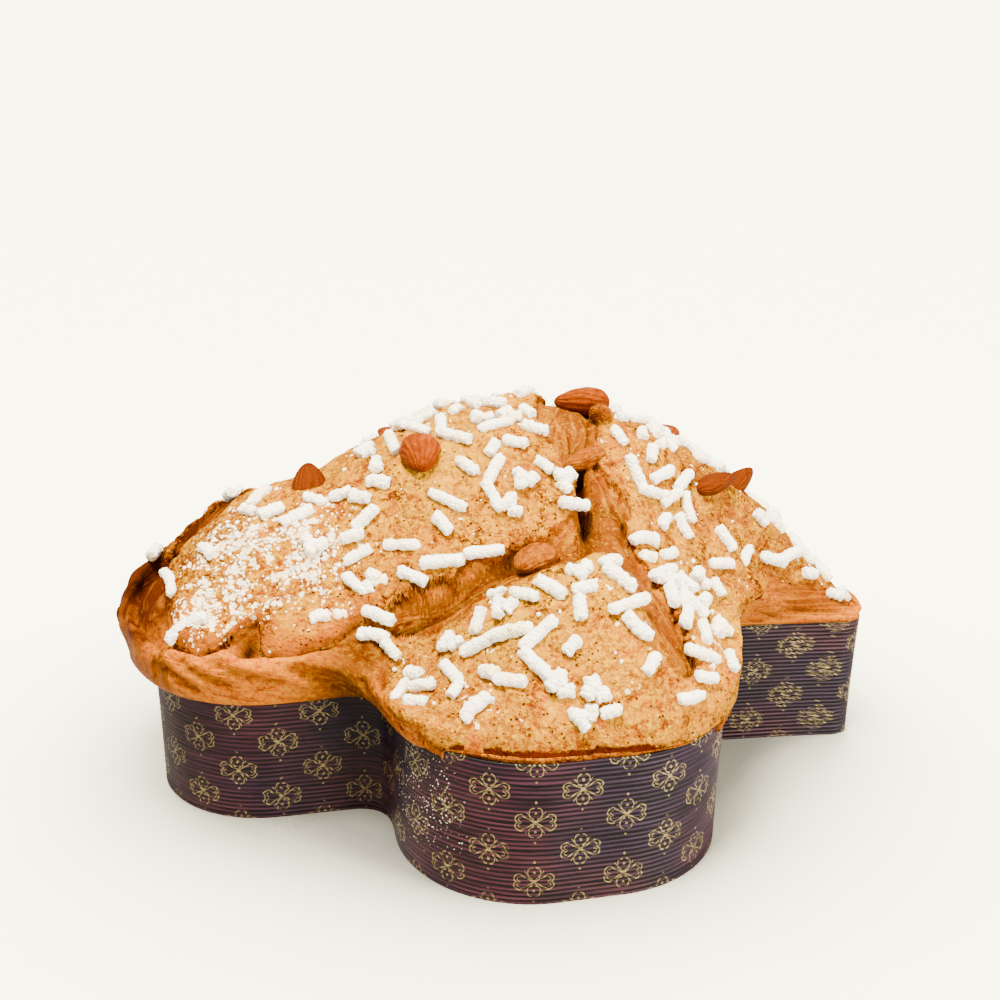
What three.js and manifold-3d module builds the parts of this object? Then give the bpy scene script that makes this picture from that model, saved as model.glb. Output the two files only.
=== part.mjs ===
// Colomba: a dove-shaped Easter cake in its corrugated paper case.
// Units are millimetres, +Z is up, and the origin is on the underside of the case, below the crossing
// of the body and the wings. The head points along -X, the tail along +X, the wings along -Y and +Y.
import * as THREE from 'three';
import { mergeVertices } from 'three/addons/utils/BufferGeometryUtils.js';
import Module from 'manifold-3d';

// ---- Driving dimensions -------------------------------------------------------------------------

// Plan of the case: three round-cornered lobes, joined by fillets at the armpits.
const HEAD = { reach: 157.5, halfWidth: 57, corner: 47 };
const TAIL = { reach: 159, halfWidth: 38.5, waist: 30, corner: 12 };
const WING = { reach: 134.5, halfWidth: 65.5, corner: 53 };
const CASE_FILLET = 16;

const CASE_HEIGHT = 58;
const CASE_WALL = 1.4;
const CASE_FLOOR = 1.2;
const CLEARANCE = 0.4;

// The risen dough fills the armpits above the case, more on the tail side.
const HEAD_FILL = 40;
const TAIL_FILL = 72;

// Stations round the rim, by angle from +X in degrees: how far the crust overhangs the case, how high
// above the rim it is widest, how wide its rounded shoulder is, and how far it droops below the rim.
const RIM_STATIONS = [
  { angle: -180, overhang: 14, widest: 14, shoulder: 55, droop: 3 },
  { angle: -165, overhang: 12, widest: 14, shoulder: 52, droop: 4 },
  { angle: -150, overhang: 9, widest: 15, shoulder: 48, droop: 4.5 },
  { angle: -139, overhang: 5, widest: 13, shoulder: 46, droop: 4 },
  { angle: -122, overhang: 6, widest: 12, shoulder: 46, droop: 2 },
  { angle: -106, overhang: -3.5, widest: 5, shoulder: 46, droop: 0 },
  { angle: -90, overhang: -2.5, widest: 4, shoulder: 46, droop: 0 },
  { angle: -75, overhang: 0.5, widest: 5, shoulder: 46, droop: 0 },
  { angle: -60, overhang: 5, widest: 14, shoulder: 46, droop: 0 },
  { angle: -45, overhang: 9, widest: 24, shoulder: 46, droop: 0 },
  { angle: -27, overhang: 9, widest: 24, shoulder: 40, droop: 0 },
  { angle: -14, overhang: 0, widest: 3, shoulder: 16, droop: 0 },
  { angle: 0, overhang: 1, widest: 3, shoulder: 14, droop: 0 },
  { angle: 14, overhang: 2, widest: 4, shoulder: 18, droop: 0 },
  { angle: 27, overhang: 8, widest: 16, shoulder: 40, droop: 1 },
  { angle: 60, overhang: 7, widest: 14, shoulder: 46, droop: 2 },
  { angle: 90, overhang: 6, widest: 10, shoulder: 46, droop: 2 },
  { angle: 120, overhang: 8, widest: 12, shoulder: 46, droop: 2 },
  { angle: 139, overhang: 6, widest: 14, shoulder: 46, droop: 2 },
  { angle: 160, overhang: 12, widest: 13, shoulder: 50, droop: 3 },
];

// The dome above the rim: a body ridge from head to tail, and two wings that meet it in valleys.
const DOME = {
  height: 100.5, centreX: 4, centreY: 4, halfWidth: 84.5,
  headDrop: 20.3, headRun: 44, tailCurve: 0.0042,
  neckX: -85, neckRun: 16, neckDip: 6,
};
const WING_DOME = { near: 57, far: 70, centreX: 14, curve: 0.0078, tipFrom: 60, tipCurve: 0.0016 };
const VALLEY_BLEND = 16;

// Torn openings in the glaze, as centre lines with half widths, where the bare dough lies lower.
const GLAZE_THICKNESS = 3;
const TEARS = [
  // over the ridge, from the far side down to the fork
  [{ x: 30, y: 28, w: 9 }, { x: 26, y: 12, w: 12 }, { x: 21, y: -8, w: 12 }, { x: 18, y: -26, w: 10.5 },
    { x: 23, y: -39, w: 6 }, { x: 26, y: -50, w: 11 }, { x: 22, y: -62, w: 13 }],
  // from the fork down to the head-side armpit
  [{ x: 20, y: -62, w: 12 }, { x: 4, y: -69, w: 11 }, { x: -10, y: -70, w: 11 }, { x: -22, y: -67, w: 6.5 },
    { x: -37, y: -68, w: 7 }, { x: -49, y: -66, w: 5.5 }, { x: -61, y: -63, w: 5 }],
  // from the fork down the tail-side flank of the near wing
  [{ x: 24, y: -62, w: 12 }, { x: 28, y: -76, w: 8 }, { x: 29, y: -92, w: 8.5 }, { x: 33, y: -106, w: 9 },
    { x: 38, y: -114, w: 6 }],
  // a shorter tear on the far side
  [{ x: -30, y: 62, w: 4 }, { x: -12, y: 68, w: 7 }, { x: 10, y: 66, w: 8 }, { x: 34, y: 60, w: 5 }],
  // the bare tip of the head, inside its curled edge
  [{ x: -157, y: -42, w: 9 }, { x: -161, y: -24, w: 10 }, { x: -161, y: -6, w: 10 }, { x: -153, y: 8, w: 9 },
    { x: -140, y: 14, w: 7 }, { x: -122, y: 16, w: 5 }, { x: -106, y: 16, w: 2 }],
];
// Deep, narrow creases in the bare dough: points with depth, and one half width for each crease.
const CREASES = [
  { width: 3.4, line: [{ x: 21, y: -24, d: 3 }, { x: 19, y: -34, d: 14 }, { x: 19, y: -44, d: 15 },
    { x: 18, y: -56, d: 10 }, { x: 15, y: -70, d: 7 }, { x: 12, y: -78, d: 2 }] },
  { width: 4.2, line: [{ x: 2, y: -59, d: 6 }, { x: -10, y: -60, d: 12 }, { x: -26, y: -62, d: 8 },
    { x: -44, y: -62, d: 10 }, { x: -60, y: -62, d: 11 }] },
  { width: 3, line: [{ x: -28, y: 64, d: 3 }, { x: 0, y: 68, d: 8 }, { x: 30, y: 62, d: 3 }] },
  // inside the curled edge, and the hollow behind it
  { width: 2.4, line: [{ x: -156, y: -34, d: 1 }, { x: -163, y: -20, d: 3 }, { x: -165, y: -6, d: 4 },
    { x: -161, y: 8, d: 4 }, { x: -150, y: 15, d: 4 }, { x: -136, y: 15, d: 3 }, { x: -120, y: 13, d: 1 }] },
  { width: 8, line: [{ x: -153, y: -30, d: 2 }, { x: -156, y: -12, d: 3 }, { x: -151, y: 4, d: 3 },
    { x: -141, y: 9, d: 2 }] },
  // the recess under the flap, and the crevice at the flap's far end
  { width: 4.5, line: [{ x: -121, y: -58, d: 7 }, { x: -115, y: -58, d: 7 }] },
  { width: 2.4, line: [{ x: -157, y: -32, d: 2 }, { x: -154, y: -39, d: 4 }, { x: -149, y: -45, d: 5 },
    { x: -145, y: -49, d: 4 }, { x: -140, y: -52, d: 2 }] },
];

// The curled edge at the tip of the head, as a raised line.
const CURL = {
  width: 3.6,
  line: [{ x: -160, y: -38, h: 1 }, { x: -168, y: -24, h: 3.5 }, { x: -171, y: -8, h: 5 }, { x: -167, y: 12, h: 5.5 },
    { x: -154, y: 21, h: 5.5 }, { x: -137, y: 21, h: 4.5 }, { x: -119, y: 18, h: 3 }, { x: -106, y: 16, h: 0 }],
};

// A thick flap of glazed dough hangs over the near side of the head: its wavy edge by angle, as the
// inset from the crust's edge, and the step below it.
const FLAP = {
  step: 3, blend: 2.2,
  edge: [{ angle: -168, inset: 13 }, { angle: -163.2, inset: 6.7 }, { angle: -159.9, inset: 4.5 },
    { angle: -157.2, inset: 2 }, { angle: -155.3, inset: 10 }, { angle: -153.2, inset: 3.5 },
    { angle: -150.3, inset: 1.5 }, { angle: -148, inset: 1.8 }, { angle: -145.9, inset: 4.5 },
    { angle: -143, inset: 9 }, { angle: -138, inset: 13 }],
};

// Gentle unevenness of the whole crust.
const LUMPS = [
  { wave: 61, angle: 20, height: 1.1 },
  { wave: 43, angle: 95, height: 0.9 },
  { wave: 29, angle: 140, height: 0.7 },
];

// Sugar nibs: seeded places on the glaze, with the longest fused to the crust as relief.
const NIB = { seed: 20, tries: 4200, spacing: 8.6, shortest: 7, longest: 18, radius: 2.5, sides: 5, fused: 80 };
// Share of the places that hold a nib, on most of the crust and blended towards each patch.
const SUGAR_SHARE = 0.42;
const SUGAR_PATCHES = [
  { x: -125, y: -15, reach: 85, share: 0 },
  { x: -125, y: -50, reach: 30, share: 0 },
  { x: -62, y: -48, reach: 24, share: 0 },
  { x: -22, y: -12, reach: 30, share: 0.9 },
  { x: 62, y: -14, reach: 34, share: 1 },
  { x: 52, y: -82, reach: 26, share: 1 },
  { x: -60, y: -92, reach: 16, share: 1 },
  { x: 5, y: -128, reach: 22, share: 0.3 },
];

// The few nibs on the head, laid one by one: seat, heading in plan (degrees) and length.
const HEAD_NIBS = [
  { x: -149, y: -18, heading: -89, length: 20 }, { x: -133, y: -22, heading: -68, length: 8 },
  { x: -116, y: -12, heading: -57, length: 9 }, { x: -107, y: -17, heading: 19, length: 10 },
  { x: -97, y: -23, heading: 24, length: 14 }, { x: -89, y: -16, heading: -44, length: 10 },
  { x: -71, y: -26, heading: -34, length: 8 }, { x: -70, y: -33, heading: -141, length: 12 },
  { x: -74, y: -42, heading: 19, length: 12 }, { x: -57, y: -46, heading: -17, length: 14 },
  { x: -76, y: -50, heading: -70, length: 13 }, { x: -69, y: -52, heading: 7, length: 9 },
  { x: -54, y: -55, heading: -57, length: 12 }, { x: -42, y: -55, heading: -2, length: 17 },
  { x: -91, y: -55, heading: 7, length: 7 }, { x: -71, y: -65, heading: -32, length: 12 },
  { x: -65, y: -71, heading: -73, length: 9 },
];

// Almonds: seat on the crust, heading of the tip in plan, tilt of the tip and roll about the long axis
// (degrees), length, width and thickness, and how much of the thickness is sunk.
const ALMONDS = [
  { x: 31, y: 3, heading: 170, tilt: 2, roll: 55, length: 25, width: 16, thick: 12, sunk: 0.12 },
  { x: 35, y: -12, heading: 250, tilt: 25, roll: 0, length: 13, width: 10, thick: 8, sunk: 0.3 },
  { x: 23, y: -29, heading: 200, tilt: -8, roll: 25, length: 22, width: 13, thick: 9, sunk: 0.25 },
  { x: -7, y: -66, heading: 225, tilt: -5, roll: 10, length: 21, width: 18, thick: 11, sunk: 0.3 },
  { x: -46, y: -25, heading: 268, tilt: -30, roll: 0, length: 18, width: 17, thick: 15, sunk: 0.35 },
  { x: -90, y: -2, heading: 95, tilt: 70, roll: 0, length: 25, width: 18, thick: 12, sunk: 0.64 },
  { x: 103, y: -8, heading: 20, tilt: 32, roll: 20, length: 21, width: 11, thick: 8, sunk: 0.35 },
  { x: 85, y: -25, heading: 15, tilt: 12, roll: 20, length: 21, width: 11, thick: 8, sunk: 0.35 },
  { x: -48, y: 36, heading: 120, tilt: 5, roll: 10, length: 24, width: 15, thick: 9, sunk: 0.35 },
  { x: -12, y: 92, heading: 60, tilt: 4, roll: 0, length: 25, width: 15, thick: 9, sunk: 0.35 },
  { x: 44, y: 82, heading: 340, tilt: -6, roll: -15, length: 23, width: 14, thick: 9, sunk: 0.35 },
  { x: 78, y: 22, heading: 45, tilt: 0, roll: 10, length: 24, width: 15, thick: 9, sunk: 0.35 },
];

// Fineness of the facets.
const GRID = 36;
const AROUND = 4 * GRID;
const SMALLEST_FACET = 0.08;

// ---- Small maths --------------------------------------------------------------------------------

const clamp = THREE.MathUtils.clamp;
const lerp = THREE.MathUtils.lerp;
const rad = THREE.MathUtils.degToRad;
const smoothstep = (x, lo, hi) => {
  const t = clamp((x - lo) / (hi - lo), 0, 1);
  return t * t * (3 - 2 * t);
};
const bell = (x, run) => Math.exp(-((x / run) ** 2));

// Smooth minimum and maximum with a blend of width k.
function smoothMin(a, b, k) {
  const h = clamp(0.5 + (0.5 * (b - a)) / k, 0, 1);
  return lerp(b, a, h) - k * h * (1 - h);
}
const smoothMax = (a, b, k) => -smoothMin(-a, -b, k);

// Nearest point on a line of points: distance, and the named value there.
function alongLine(line, x, y, key) {
  let best = { distance: Infinity, value: 0 };
  for (let i = 0; i + 1 < line.length; i++) {
    const a = line[i];
    const b = line[i + 1];
    const dx = b.x - a.x;
    const dy = b.y - a.y;
    const t = clamp(((x - a.x) * dx + (y - a.y) * dy) / (dx * dx + dy * dy), 0, 1);
    const distance = Math.hypot(x - a.x - t * dx, y - a.y - t * dy);
    if (distance < best.distance) best = { distance, value: lerp(a[key], b[key], t) };
  }
  return best;
}

// ---- Plan of the case and of the crust ------------------------------------------------------------

// Signed distance to a rectangle with round corners, negative inside.
function roundBox(x, y, halfX, halfY, corner) {
  const qx = Math.abs(x) - halfX + corner;
  const qy = Math.abs(y) - halfY + corner;
  return Math.min(Math.max(qx, qy), 0) + Math.hypot(Math.max(qx, 0), Math.max(qy, 0)) - corner;
}

function lobes(x, y) {
  const side = Math.abs(y);
  const halfHead = HEAD.reach / 2;
  const halfTail = TAIL.reach / 2;
  const widening = clamp(x / TAIL.reach, 0, 1) ** 3;
  const tailWidth = lerp(TAIL.waist, TAIL.halfWidth, widening);
  const stretched = (side * TAIL.halfWidth) / tailWidth;
  return {
    head: roundBox(x + halfHead, side, halfHead, HEAD.halfWidth, HEAD.corner),
    tail: roundBox(x - halfTail, stretched, halfTail, TAIL.halfWidth, TAIL.corner),
    wing: roundBox(x, side, WING.halfWidth, WING.reach, WING.corner),
  };
}

function caseDistance(x, y) {
  const { head, tail, wing } = lobes(x, y);
  return smoothMin(smoothMin(head, tail, 1), wing, CASE_FILLET);
}

function crustDistance(x, y) {
  const { head, tail, wing } = lobes(x, y);
  return Math.min(smoothMin(head, wing, HEAD_FILL), smoothMin(tail, wing, TAIL_FILL));
}

// Distance from the origin, along an angle, to the line that lies a given offset outside a plan.
function radiusAt(distance, angle, offset) {
  const c = Math.cos(angle);
  const s = Math.sin(angle);
  let inside = 0;
  let outside = 300;
  for (let i = 0; i < 26; i++) {
    const middle = (inside + outside) / 2;
    if (distance(middle * c, middle * s) < offset) inside = middle;
    else outside = middle;
  }
  return (inside + outside) / 2;
}

// Values at the rim for any angle, eased from station to station.
function rimAt(angle) {
  const degrees = ((THREE.MathUtils.radToDeg(angle) + 540) % 360) - 180;
  const count = RIM_STATIONS.length;
  let i = count - 1;
  while (i > 0 && RIM_STATIONS[i].angle > degrees) i--;
  const a = RIM_STATIONS[i];
  const b = RIM_STATIONS[(i + 1) % count];
  const end = i + 1 < count ? b.angle : b.angle + 360;
  const t = smoothstep(degrees, a.angle, end);
  const mix = (key) => lerp(a[key], b[key], t);
  return { overhang: mix('overhang'), widest: mix('widest'), shoulder: mix('shoulder'), droop: mix('droop') };
}

// Angles for the facets: evenly spread along the case's outline, and closer round its corners.
function facetAngles(count) {
  const steps = 1440;
  const turnWeight = 9;
  const points = [];
  for (let i = 0; i <= steps; i++) {
    const angle = -Math.PI + (2 * Math.PI * i) / steps;
    const r = radiusAt(caseDistance, angle, 0);
    points.push(new THREE.Vector2(r * Math.cos(angle), r * Math.sin(angle)));
  }
  const measure = [0];
  for (let i = 0; i < steps; i++) {
    const ahead = points[(i + 1) % steps].clone().sub(points[i]);
    const behind = points[i].clone().sub(points[(i + steps - 1) % steps]);
    const turn = Math.abs(Math.atan2(behind.cross(ahead), behind.dot(ahead)));
    measure.push(measure[i] + ahead.length() + turnWeight * turn);
  }
  const angles = [];
  for (let k = 0, i = 0; k < count; k++) {
    const target = (measure[steps] * k) / count;
    while (measure[i + 1] < target) i++;
    const t = (target - measure[i]) / (measure[i + 1] - measure[i]);
    angles.push(-Math.PI + (2 * Math.PI * (i + t)) / steps);
  }
  return angles;
}

// ---- The crust's surface ----------------------------------------------------------------------------

// Height above the rim of the smooth dome, before its shoulders are rounded off.
function domeHeight(x, y) {
  const dx = x - DOME.centreX;
  const dy = y - DOME.centreY;
  const toHead = DOME.headDrop * (Math.hypot(1, dx / DOME.headRun) - 1);
  const drop = dx < 0 ? toHead : DOME.tailCurve * dx * dx;
  const ridge = DOME.height - drop - DOME.neckDip * bell(x - DOME.neckX, DOME.neckRun);
  const across = Math.abs(dy) / DOME.halfWidth;
  const beyond = 60 * Math.max(across - 1, 0);
  const body = ridge * Math.max(1 - across * across, 0) ** 0.75 - beyond;
  const past = Math.abs(dy) - WING_DOME.tipFrom;
  const top = dy < 0 ? WING_DOME.near : WING_DOME.far;
  const wing = top - WING_DOME.curve * (x - WING_DOME.centreX) ** 2 - WING_DOME.tipCurve * past * Math.abs(past);
  return smoothMax(body, wing, VALLEY_BLEND);
}

// Positive on the glaze and negative in a tear, in millimetres from its edge.
function glazeMargin(x, y) {
  let margin = Infinity;
  for (const line of TEARS) {
    const near = alongLine(line, x, y, 'w');
    margin = Math.min(margin, near.distance - near.value);
  }
  return margin;
}

// Depth of tears and creases below the dome.
function tornDepth(x, y) {
  const margin = glazeMargin(x, y);
  let depth = GLAZE_THICKNESS * smoothstep(-margin, -1, 2) + 0.16 * Math.max(-margin, 0);
  for (const crease of CREASES) {
    const near = alongLine(crease.line, x, y, 'd');
    depth += near.value * bell(near.distance, crease.width);
  }
  return depth;
}

// Step from the head's thick flap down to the bare dough below it.
function flapStep(angle, inset) {
  const degrees = THREE.MathUtils.radToDeg(angle);
  const last = FLAP.edge.length - 1;
  const from = FLAP.edge[0].angle;
  const to = FLAP.edge[last].angle;
  if (degrees < from || degrees > to) return 0;
  let i = last - 1;
  while (FLAP.edge[i].angle > degrees) i--;
  const t = (degrees - FLAP.edge[i].angle) / (FLAP.edge[i + 1].angle - FLAP.edge[i].angle);
  const edge = lerp(FLAP.edge[i].inset, FLAP.edge[i + 1].inset, t);
  const here = smoothstep(degrees, from, from + 4) * (1 - smoothstep(degrees, to - 4, to));
  return here * FLAP.step * (1 - smoothstep(inset - edge, -FLAP.blend, FLAP.blend));
}

// Raised edge round the tip of the head.
function curlHeight(x, y) {
  const near = alongLine(CURL.line, x, y, 'h');
  return near.value * bell(near.distance, CURL.width);
}

function lumps(x, y) {
  let sum = 0;
  for (const lump of LUMPS) {
    const along = x * Math.cos(rad(lump.angle)) + y * Math.sin(rad(lump.angle));
    const across = y * Math.cos(rad(lump.angle)) - x * Math.sin(rad(lump.angle));
    sum += lump.height * Math.sin((2 * Math.PI * along) / lump.wave) * Math.cos((1.7 * Math.PI * across) / lump.wave);
  }
  return sum;
}

// Height of the crust above the ground.
function crustHeight(x, y) {
  const angle = Math.atan2(y, x);
  const rim = rimAt(angle);
  const inset = Math.max(rim.overhang - crustDistance(x, y), 0);
  const t = clamp(inset / rim.shoulder, 0, 1);
  const rounded = (1 - (1 - t) ** 1.6) ** 0.62;
  const dome = rim.widest + (domeHeight(x, y) - rim.widest) * rounded;
  const fade = smoothstep(inset, 0, 6);
  const relief = (lumps(x, y) - tornDepth(x, y) + curlHeight(x, y)) * fade;
  return CASE_HEIGHT + dome + relief - flapStep(angle, inset);
}

function crustNormal(x, y) {
  const step = 1.5;
  const dx = (crustHeight(x + step, y) - crustHeight(x - step, y)) / (2 * step);
  const dy = (crustHeight(x, y + step) - crustHeight(x, y - step)) / (2 * step);
  return new THREE.Vector3(-dx, -dy, 1).normalize();
}

// ---- Solids -----------------------------------------------------------------------------------------

const wasm = await Module();
wasm.setup();

// Position-only copy with shared vertices merged, and collapsed triangles left out.
function welded(geometry) {
  const bare = new THREE.BufferGeometry();
  bare.setAttribute('position', geometry.getAttribute('position').clone());
  if (geometry.index) bare.setIndex(geometry.index.clone());
  const merged = mergeVertices(bare, 1e-3);
  const kept = [];
  const index = merged.index.array;
  for (let i = 0; i < index.length; i += 3) {
    const [a, b, c] = [index[i], index[i + 1], index[i + 2]];
    if (a !== b && b !== c && c !== a) kept.push(a, b, c);
  }
  merged.setIndex(kept);
  return merged;
}

function toSolid(geometry) {
  const merged = welded(geometry);
  return new wasm.Manifold(new wasm.Mesh({
    numProp: 3,
    vertProperties: new Float32Array(merged.getAttribute('position').array),
    triVerts: new Uint32Array(merged.index.array),
  }));
}

function toGeometry(solid) {
  const mesh = solid.getMesh();
  const geometry = new THREE.BufferGeometry();
  geometry.setAttribute('position', new THREE.BufferAttribute(new Float32Array(mesh.vertProperties), 3));
  geometry.setIndex(new THREE.BufferAttribute(new Uint32Array(mesh.triVerts), 1));
  return geometry;
}

// Largest of a solid's separate bodies, so that no loose scrap stays.
function mainBody(solid) {
  const bodies = solid.decompose();
  return bodies.reduce((best, body) => (body.volume() > best.volume() ? body : best));
}

// A flat cap over a ring, facing up or down.
function capGeometry(ring, up) {
  const contour = ring.map((p) => new THREE.Vector2(p.x, p.y));
  const geometry = new THREE.ShapeGeometry(new THREE.Shape(contour));
  const position = geometry.getAttribute('position');
  for (let i = 0; i < position.count; i++) position.setZ(i, ring[0].z);
  if (!up) {
    const index = geometry.index;
    for (let i = 0; i < index.count; i += 3) {
      const b = index.getX(i + 1);
      index.setX(i + 1, index.getX(i + 2));
      index.setX(i + 2, b);
    }
  }
  return geometry;
}

// A closed band of facets through a list of rings, from the first ring to the last.
function bandGeometry(rings) {
  const around = rings[0].length;
  const geometry = new THREE.PlaneGeometry(1, 1, around, rings.length - 1);
  const position = geometry.getAttribute('position');
  rings.forEach((ring, row) => {
    for (let i = 0; i <= around; i++) {
      const p = ring[i % around];
      position.setXYZ(row * (around + 1) + i, p.x, p.y, p.z);
    }
  });
  return geometry;
}

function joined(geometries) {
  const positions = [];
  for (const geometry of geometries) {
    const flat = geometry.toNonIndexed();
    positions.push(...flat.getAttribute('position').array);
  }
  const geometry = new THREE.BufferGeometry();
  geometry.setAttribute('position', new THREE.Float32BufferAttribute(positions, 3));
  return geometry;
}

const ANGLES = facetAngles(AROUND);
const ringAt = (point) => ANGLES.map((angle) => {
  const { r, z } = point(angle);
  return new THREE.Vector3(r * Math.cos(angle), r * Math.sin(angle), z);
});

// ---- Paper case -------------------------------------------------------------------------------------

function paperCase() {
  const ring = (offset, z) => ringAt((angle) => ({ r: radiusAt(caseDistance, angle, offset), z }));
  const outerFoot = ring(0, 0);
  const outerRim = ring(0, CASE_HEIGHT);
  const innerRim = ring(-CASE_WALL, CASE_HEIGHT);
  const innerFoot = ring(-CASE_WALL, CASE_FLOOR);
  const wall = bandGeometry([innerFoot, innerRim, outerRim, outerFoot]);
  return welded(joined([wall, capGeometry(outerFoot, false), capGeometry(innerFoot, true)]));
}

// ---- Cake -------------------------------------------------------------------------------------------

// Ring of the crust's edge: share 0 is the widest line, 1 the underside of the overhang.
function edgeRing(share) {
  return ringAt((angle) => {
    const { overhang, widest, droop } = rimAt(angle);
    const hang = lerp(-2 * CLEARANCE, droop, smoothstep(overhang, 2, 5));
    const under = Math.max(0.4 * overhang, Math.min(overhang, CLEARANCE + 0.1));
    const outer = radiusAt(crustDistance, angle, overhang);
    const inner = radiusAt(caseDistance, angle, under);
    const turn = (share * Math.PI) / 2;
    return {
      r: lerp(inner, outer, Math.cos(turn)),
      z: CASE_HEIGHT + widest - (widest + hang) * Math.sin(turn),
    };
  });
}

function cakeCore() {
  const inside = -CASE_WALL - CLEARANCE;
  const overRim = ringAt((angle) => ({
    r: radiusAt(caseDistance, angle, Math.min(rimAt(angle).overhang, CLEARANCE)),
    z: CASE_HEIGHT + CLEARANCE,
  }));
  const pastRim = ringAt((angle) => {
    const { overhang } = rimAt(angle);
    const dip = lerp(-2, CLEARANCE, smoothstep(overhang, -3, inside));
    return { r: radiusAt(caseDistance, angle, Math.min(overhang, inside)), z: CASE_HEIGHT + dip };
  });
  const inCase = (z) => ringAt((angle) => ({ r: radiusAt(caseDistance, angle, inside), z }));
  const foot = inCase(CASE_FLOOR + CLEARANCE);
  const widest = edgeRing(0);
  const wall = bandGeometry([widest, edgeRing(0.4), edgeRing(0.75), edgeRing(1), overRim, pastRim,
    inCase(CASE_HEIGHT - 8), foot]);

  // The top: a square grid wrapped onto the plan, square ring by square ring.
  const top = new THREE.PlaneGeometry(2, 2, GRID, GRID);
  const position = top.getAttribute('position');
  for (let i = 0; i < position.count; i++) {
    const sx = position.getX(i);
    const sy = position.getY(i);
    const share = Math.max(Math.abs(sx), Math.abs(sy));
    const place = squarePlace(sx, sy, share);
    const edge = pointBetween(widest, place);
    const reach = 0.5 * share + 0.5 * Math.sin((share * Math.PI) / 2);
    const x = edge.x * reach;
    const y = edge.y * reach;
    const z = share > 0.9999 ? edge.z : crustHeight(x, y);
    position.setXYZ(i, x, y, z);
  }
  return toSolid(joined([wall, top, capGeometry(foot, false)]));
}

// Place round the square ring of a grid point, from 0 to AROUND, starting at -X and turning as the
// angles do: along -Y, +X, +Y and back.
function squarePlace(sx, sy, share) {
  if (share === 0) return 0;
  const u = sx / share;
  const v = sy / share;
  const side = GRID / 2;
  let place;
  if (u <= -1 + 1e-9) place = -side * v;
  else if (v <= -1 + 1e-9) place = side * (2 + u);
  else if (u >= 1 - 1e-9) place = side * (4 + v);
  else place = side * (6 - u);
  return (place + AROUND) % AROUND;
}

function pointBetween(ring, place) {
  const i = Math.floor(place + 1e-9);
  const t = clamp(place - i, 0, 1);
  return ring[i % AROUND].clone().lerp(ring[(i + 1) % AROUND], t);
}

// ---- Sugar nibs -------------------------------------------------------------------------------------

function seededDraws(seed) {
  let state = seed;
  return () => {
    state = (Math.imul(state, 1664525) + 1013904223) >>> 0;
    return state / 2 ** 32;
  };
}

function sugarShare(x, y) {
  let share = SUGAR_SHARE;
  for (const patch of SUGAR_PATCHES) {
    share = lerp(share, patch.share, bell(Math.hypot(x - patch.x, y - patch.y), patch.reach));
  }
  return share;
}

function nibPlaces() {
  const draw = seededDraws(NIB.seed);
  const nibs = HEAD_NIBS.map(({ x, y, heading, length }) => (
    { seat: new THREE.Vector3(x, y, crustHeight(x, y)), turn: rad(heading), length }));
  for (let i = 0; i < NIB.tries; i++) {
    const x = lerp(-HEAD.reach, TAIL.reach, draw());
    const y = lerp(-WING.reach, WING.reach, draw());
    const chance = draw();
    const turn = Math.PI * draw();
    const length = lerp(NIB.shortest, NIB.longest, draw() ** 1.8);
    const inset = rimAt(Math.atan2(y, x)).overhang - crustDistance(x, y);
    if (inset < 3 || chance > sugarShare(x, y) || glazeMargin(x, y) < 2) continue;
    const seat = new THREE.Vector3(x, y, crustHeight(x, y));
    const crowded = nibs.some((nib) => nib.seat.distanceTo(seat) < NIB.spacing);
    const onAlmond = ALMONDS.some((almond) => Math.hypot(almond.x - x, almond.y - y) < 0.7 * almond.length);
    if (!crowded && !onAlmond) nibs.push({ seat, turn, length });
  }
  return nibs.sort((a, b) => b.length - a.length);
}

function nibGeometry(nib) {
  const geometry = new THREE.CylinderGeometry(NIB.radius, NIB.radius, nib.length, NIB.sides, 1);
  const up = crustNormal(nib.seat.x, nib.seat.y);
  const heading = new THREE.Vector3(Math.cos(nib.turn), Math.sin(nib.turn), 0);
  const along = heading.addScaledVector(up, -heading.dot(up)).normalize();
  const across = new THREE.Vector3().crossVectors(along, up);
  const frame = new THREE.Matrix4().makeBasis(across, along, up);
  frame.setPosition(nib.seat.clone().addScaledVector(up, 0.35 * NIB.radius));
  return geometry.applyMatrix4(frame);
}

// ---- Almonds ----------------------------------------------------------------------------------------

// A whole almond along +X with its tip at +X, grown all over by a margin.
function almondGeometry(almond, margin) {
  const rows = 8;
  const sides = 10;
  const half = almond.length / 2;
  const profile = [];
  for (let i = 0; i <= rows; i++) {
    const turn = (Math.PI * i) / rows;
    const bulge = Math.sin(turn) * (1 - 0.28 * Math.cos(turn)) / 1.03;
    profile.push(new THREE.Vector2(i === 0 || i === rows ? 0 : bulge, Math.cos(turn)));
  }
  const geometry = new THREE.LatheGeometry(profile.reverse(), sides);
  geometry.rotateZ(-Math.PI / 2);
  geometry.scale(half + margin, almond.thick / 2 + margin, almond.width / 2 + margin);
  geometry.rotateX(Math.PI / 2);
  return geometry;
}

// An almond's place: seated on the crust, turned, tilted, rolled and sunk.
function almondPlace(almond) {
  const turn = new THREE.Euler(rad(almond.roll), -rad(almond.tilt), rad(almond.heading), 'ZYX');
  const frame = new THREE.Matrix4().makeRotationFromEuler(turn);
  const rise = Math.abs(Math.sin(rad(almond.tilt))) * (almond.length - almond.thick);
  const lift = (0.5 - almond.sunk) * (almond.thick + rise);
  frame.setPosition(almond.x, almond.y, crustHeight(almond.x, almond.y) + lift);
  return frame;
}

// ---- Assembly ---------------------------------------------------------------------------------------

const material = (color, roughness) => new THREE.MeshStandardMaterial({ color, roughness, metalness: 0 });
const cakeMaterial = material(0xd79a5b, 0.7);
const almondMaterial = material(0xa75c2a, 0.6);
const paperMaterial = material(0x4a2b40, 0.75);

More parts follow.
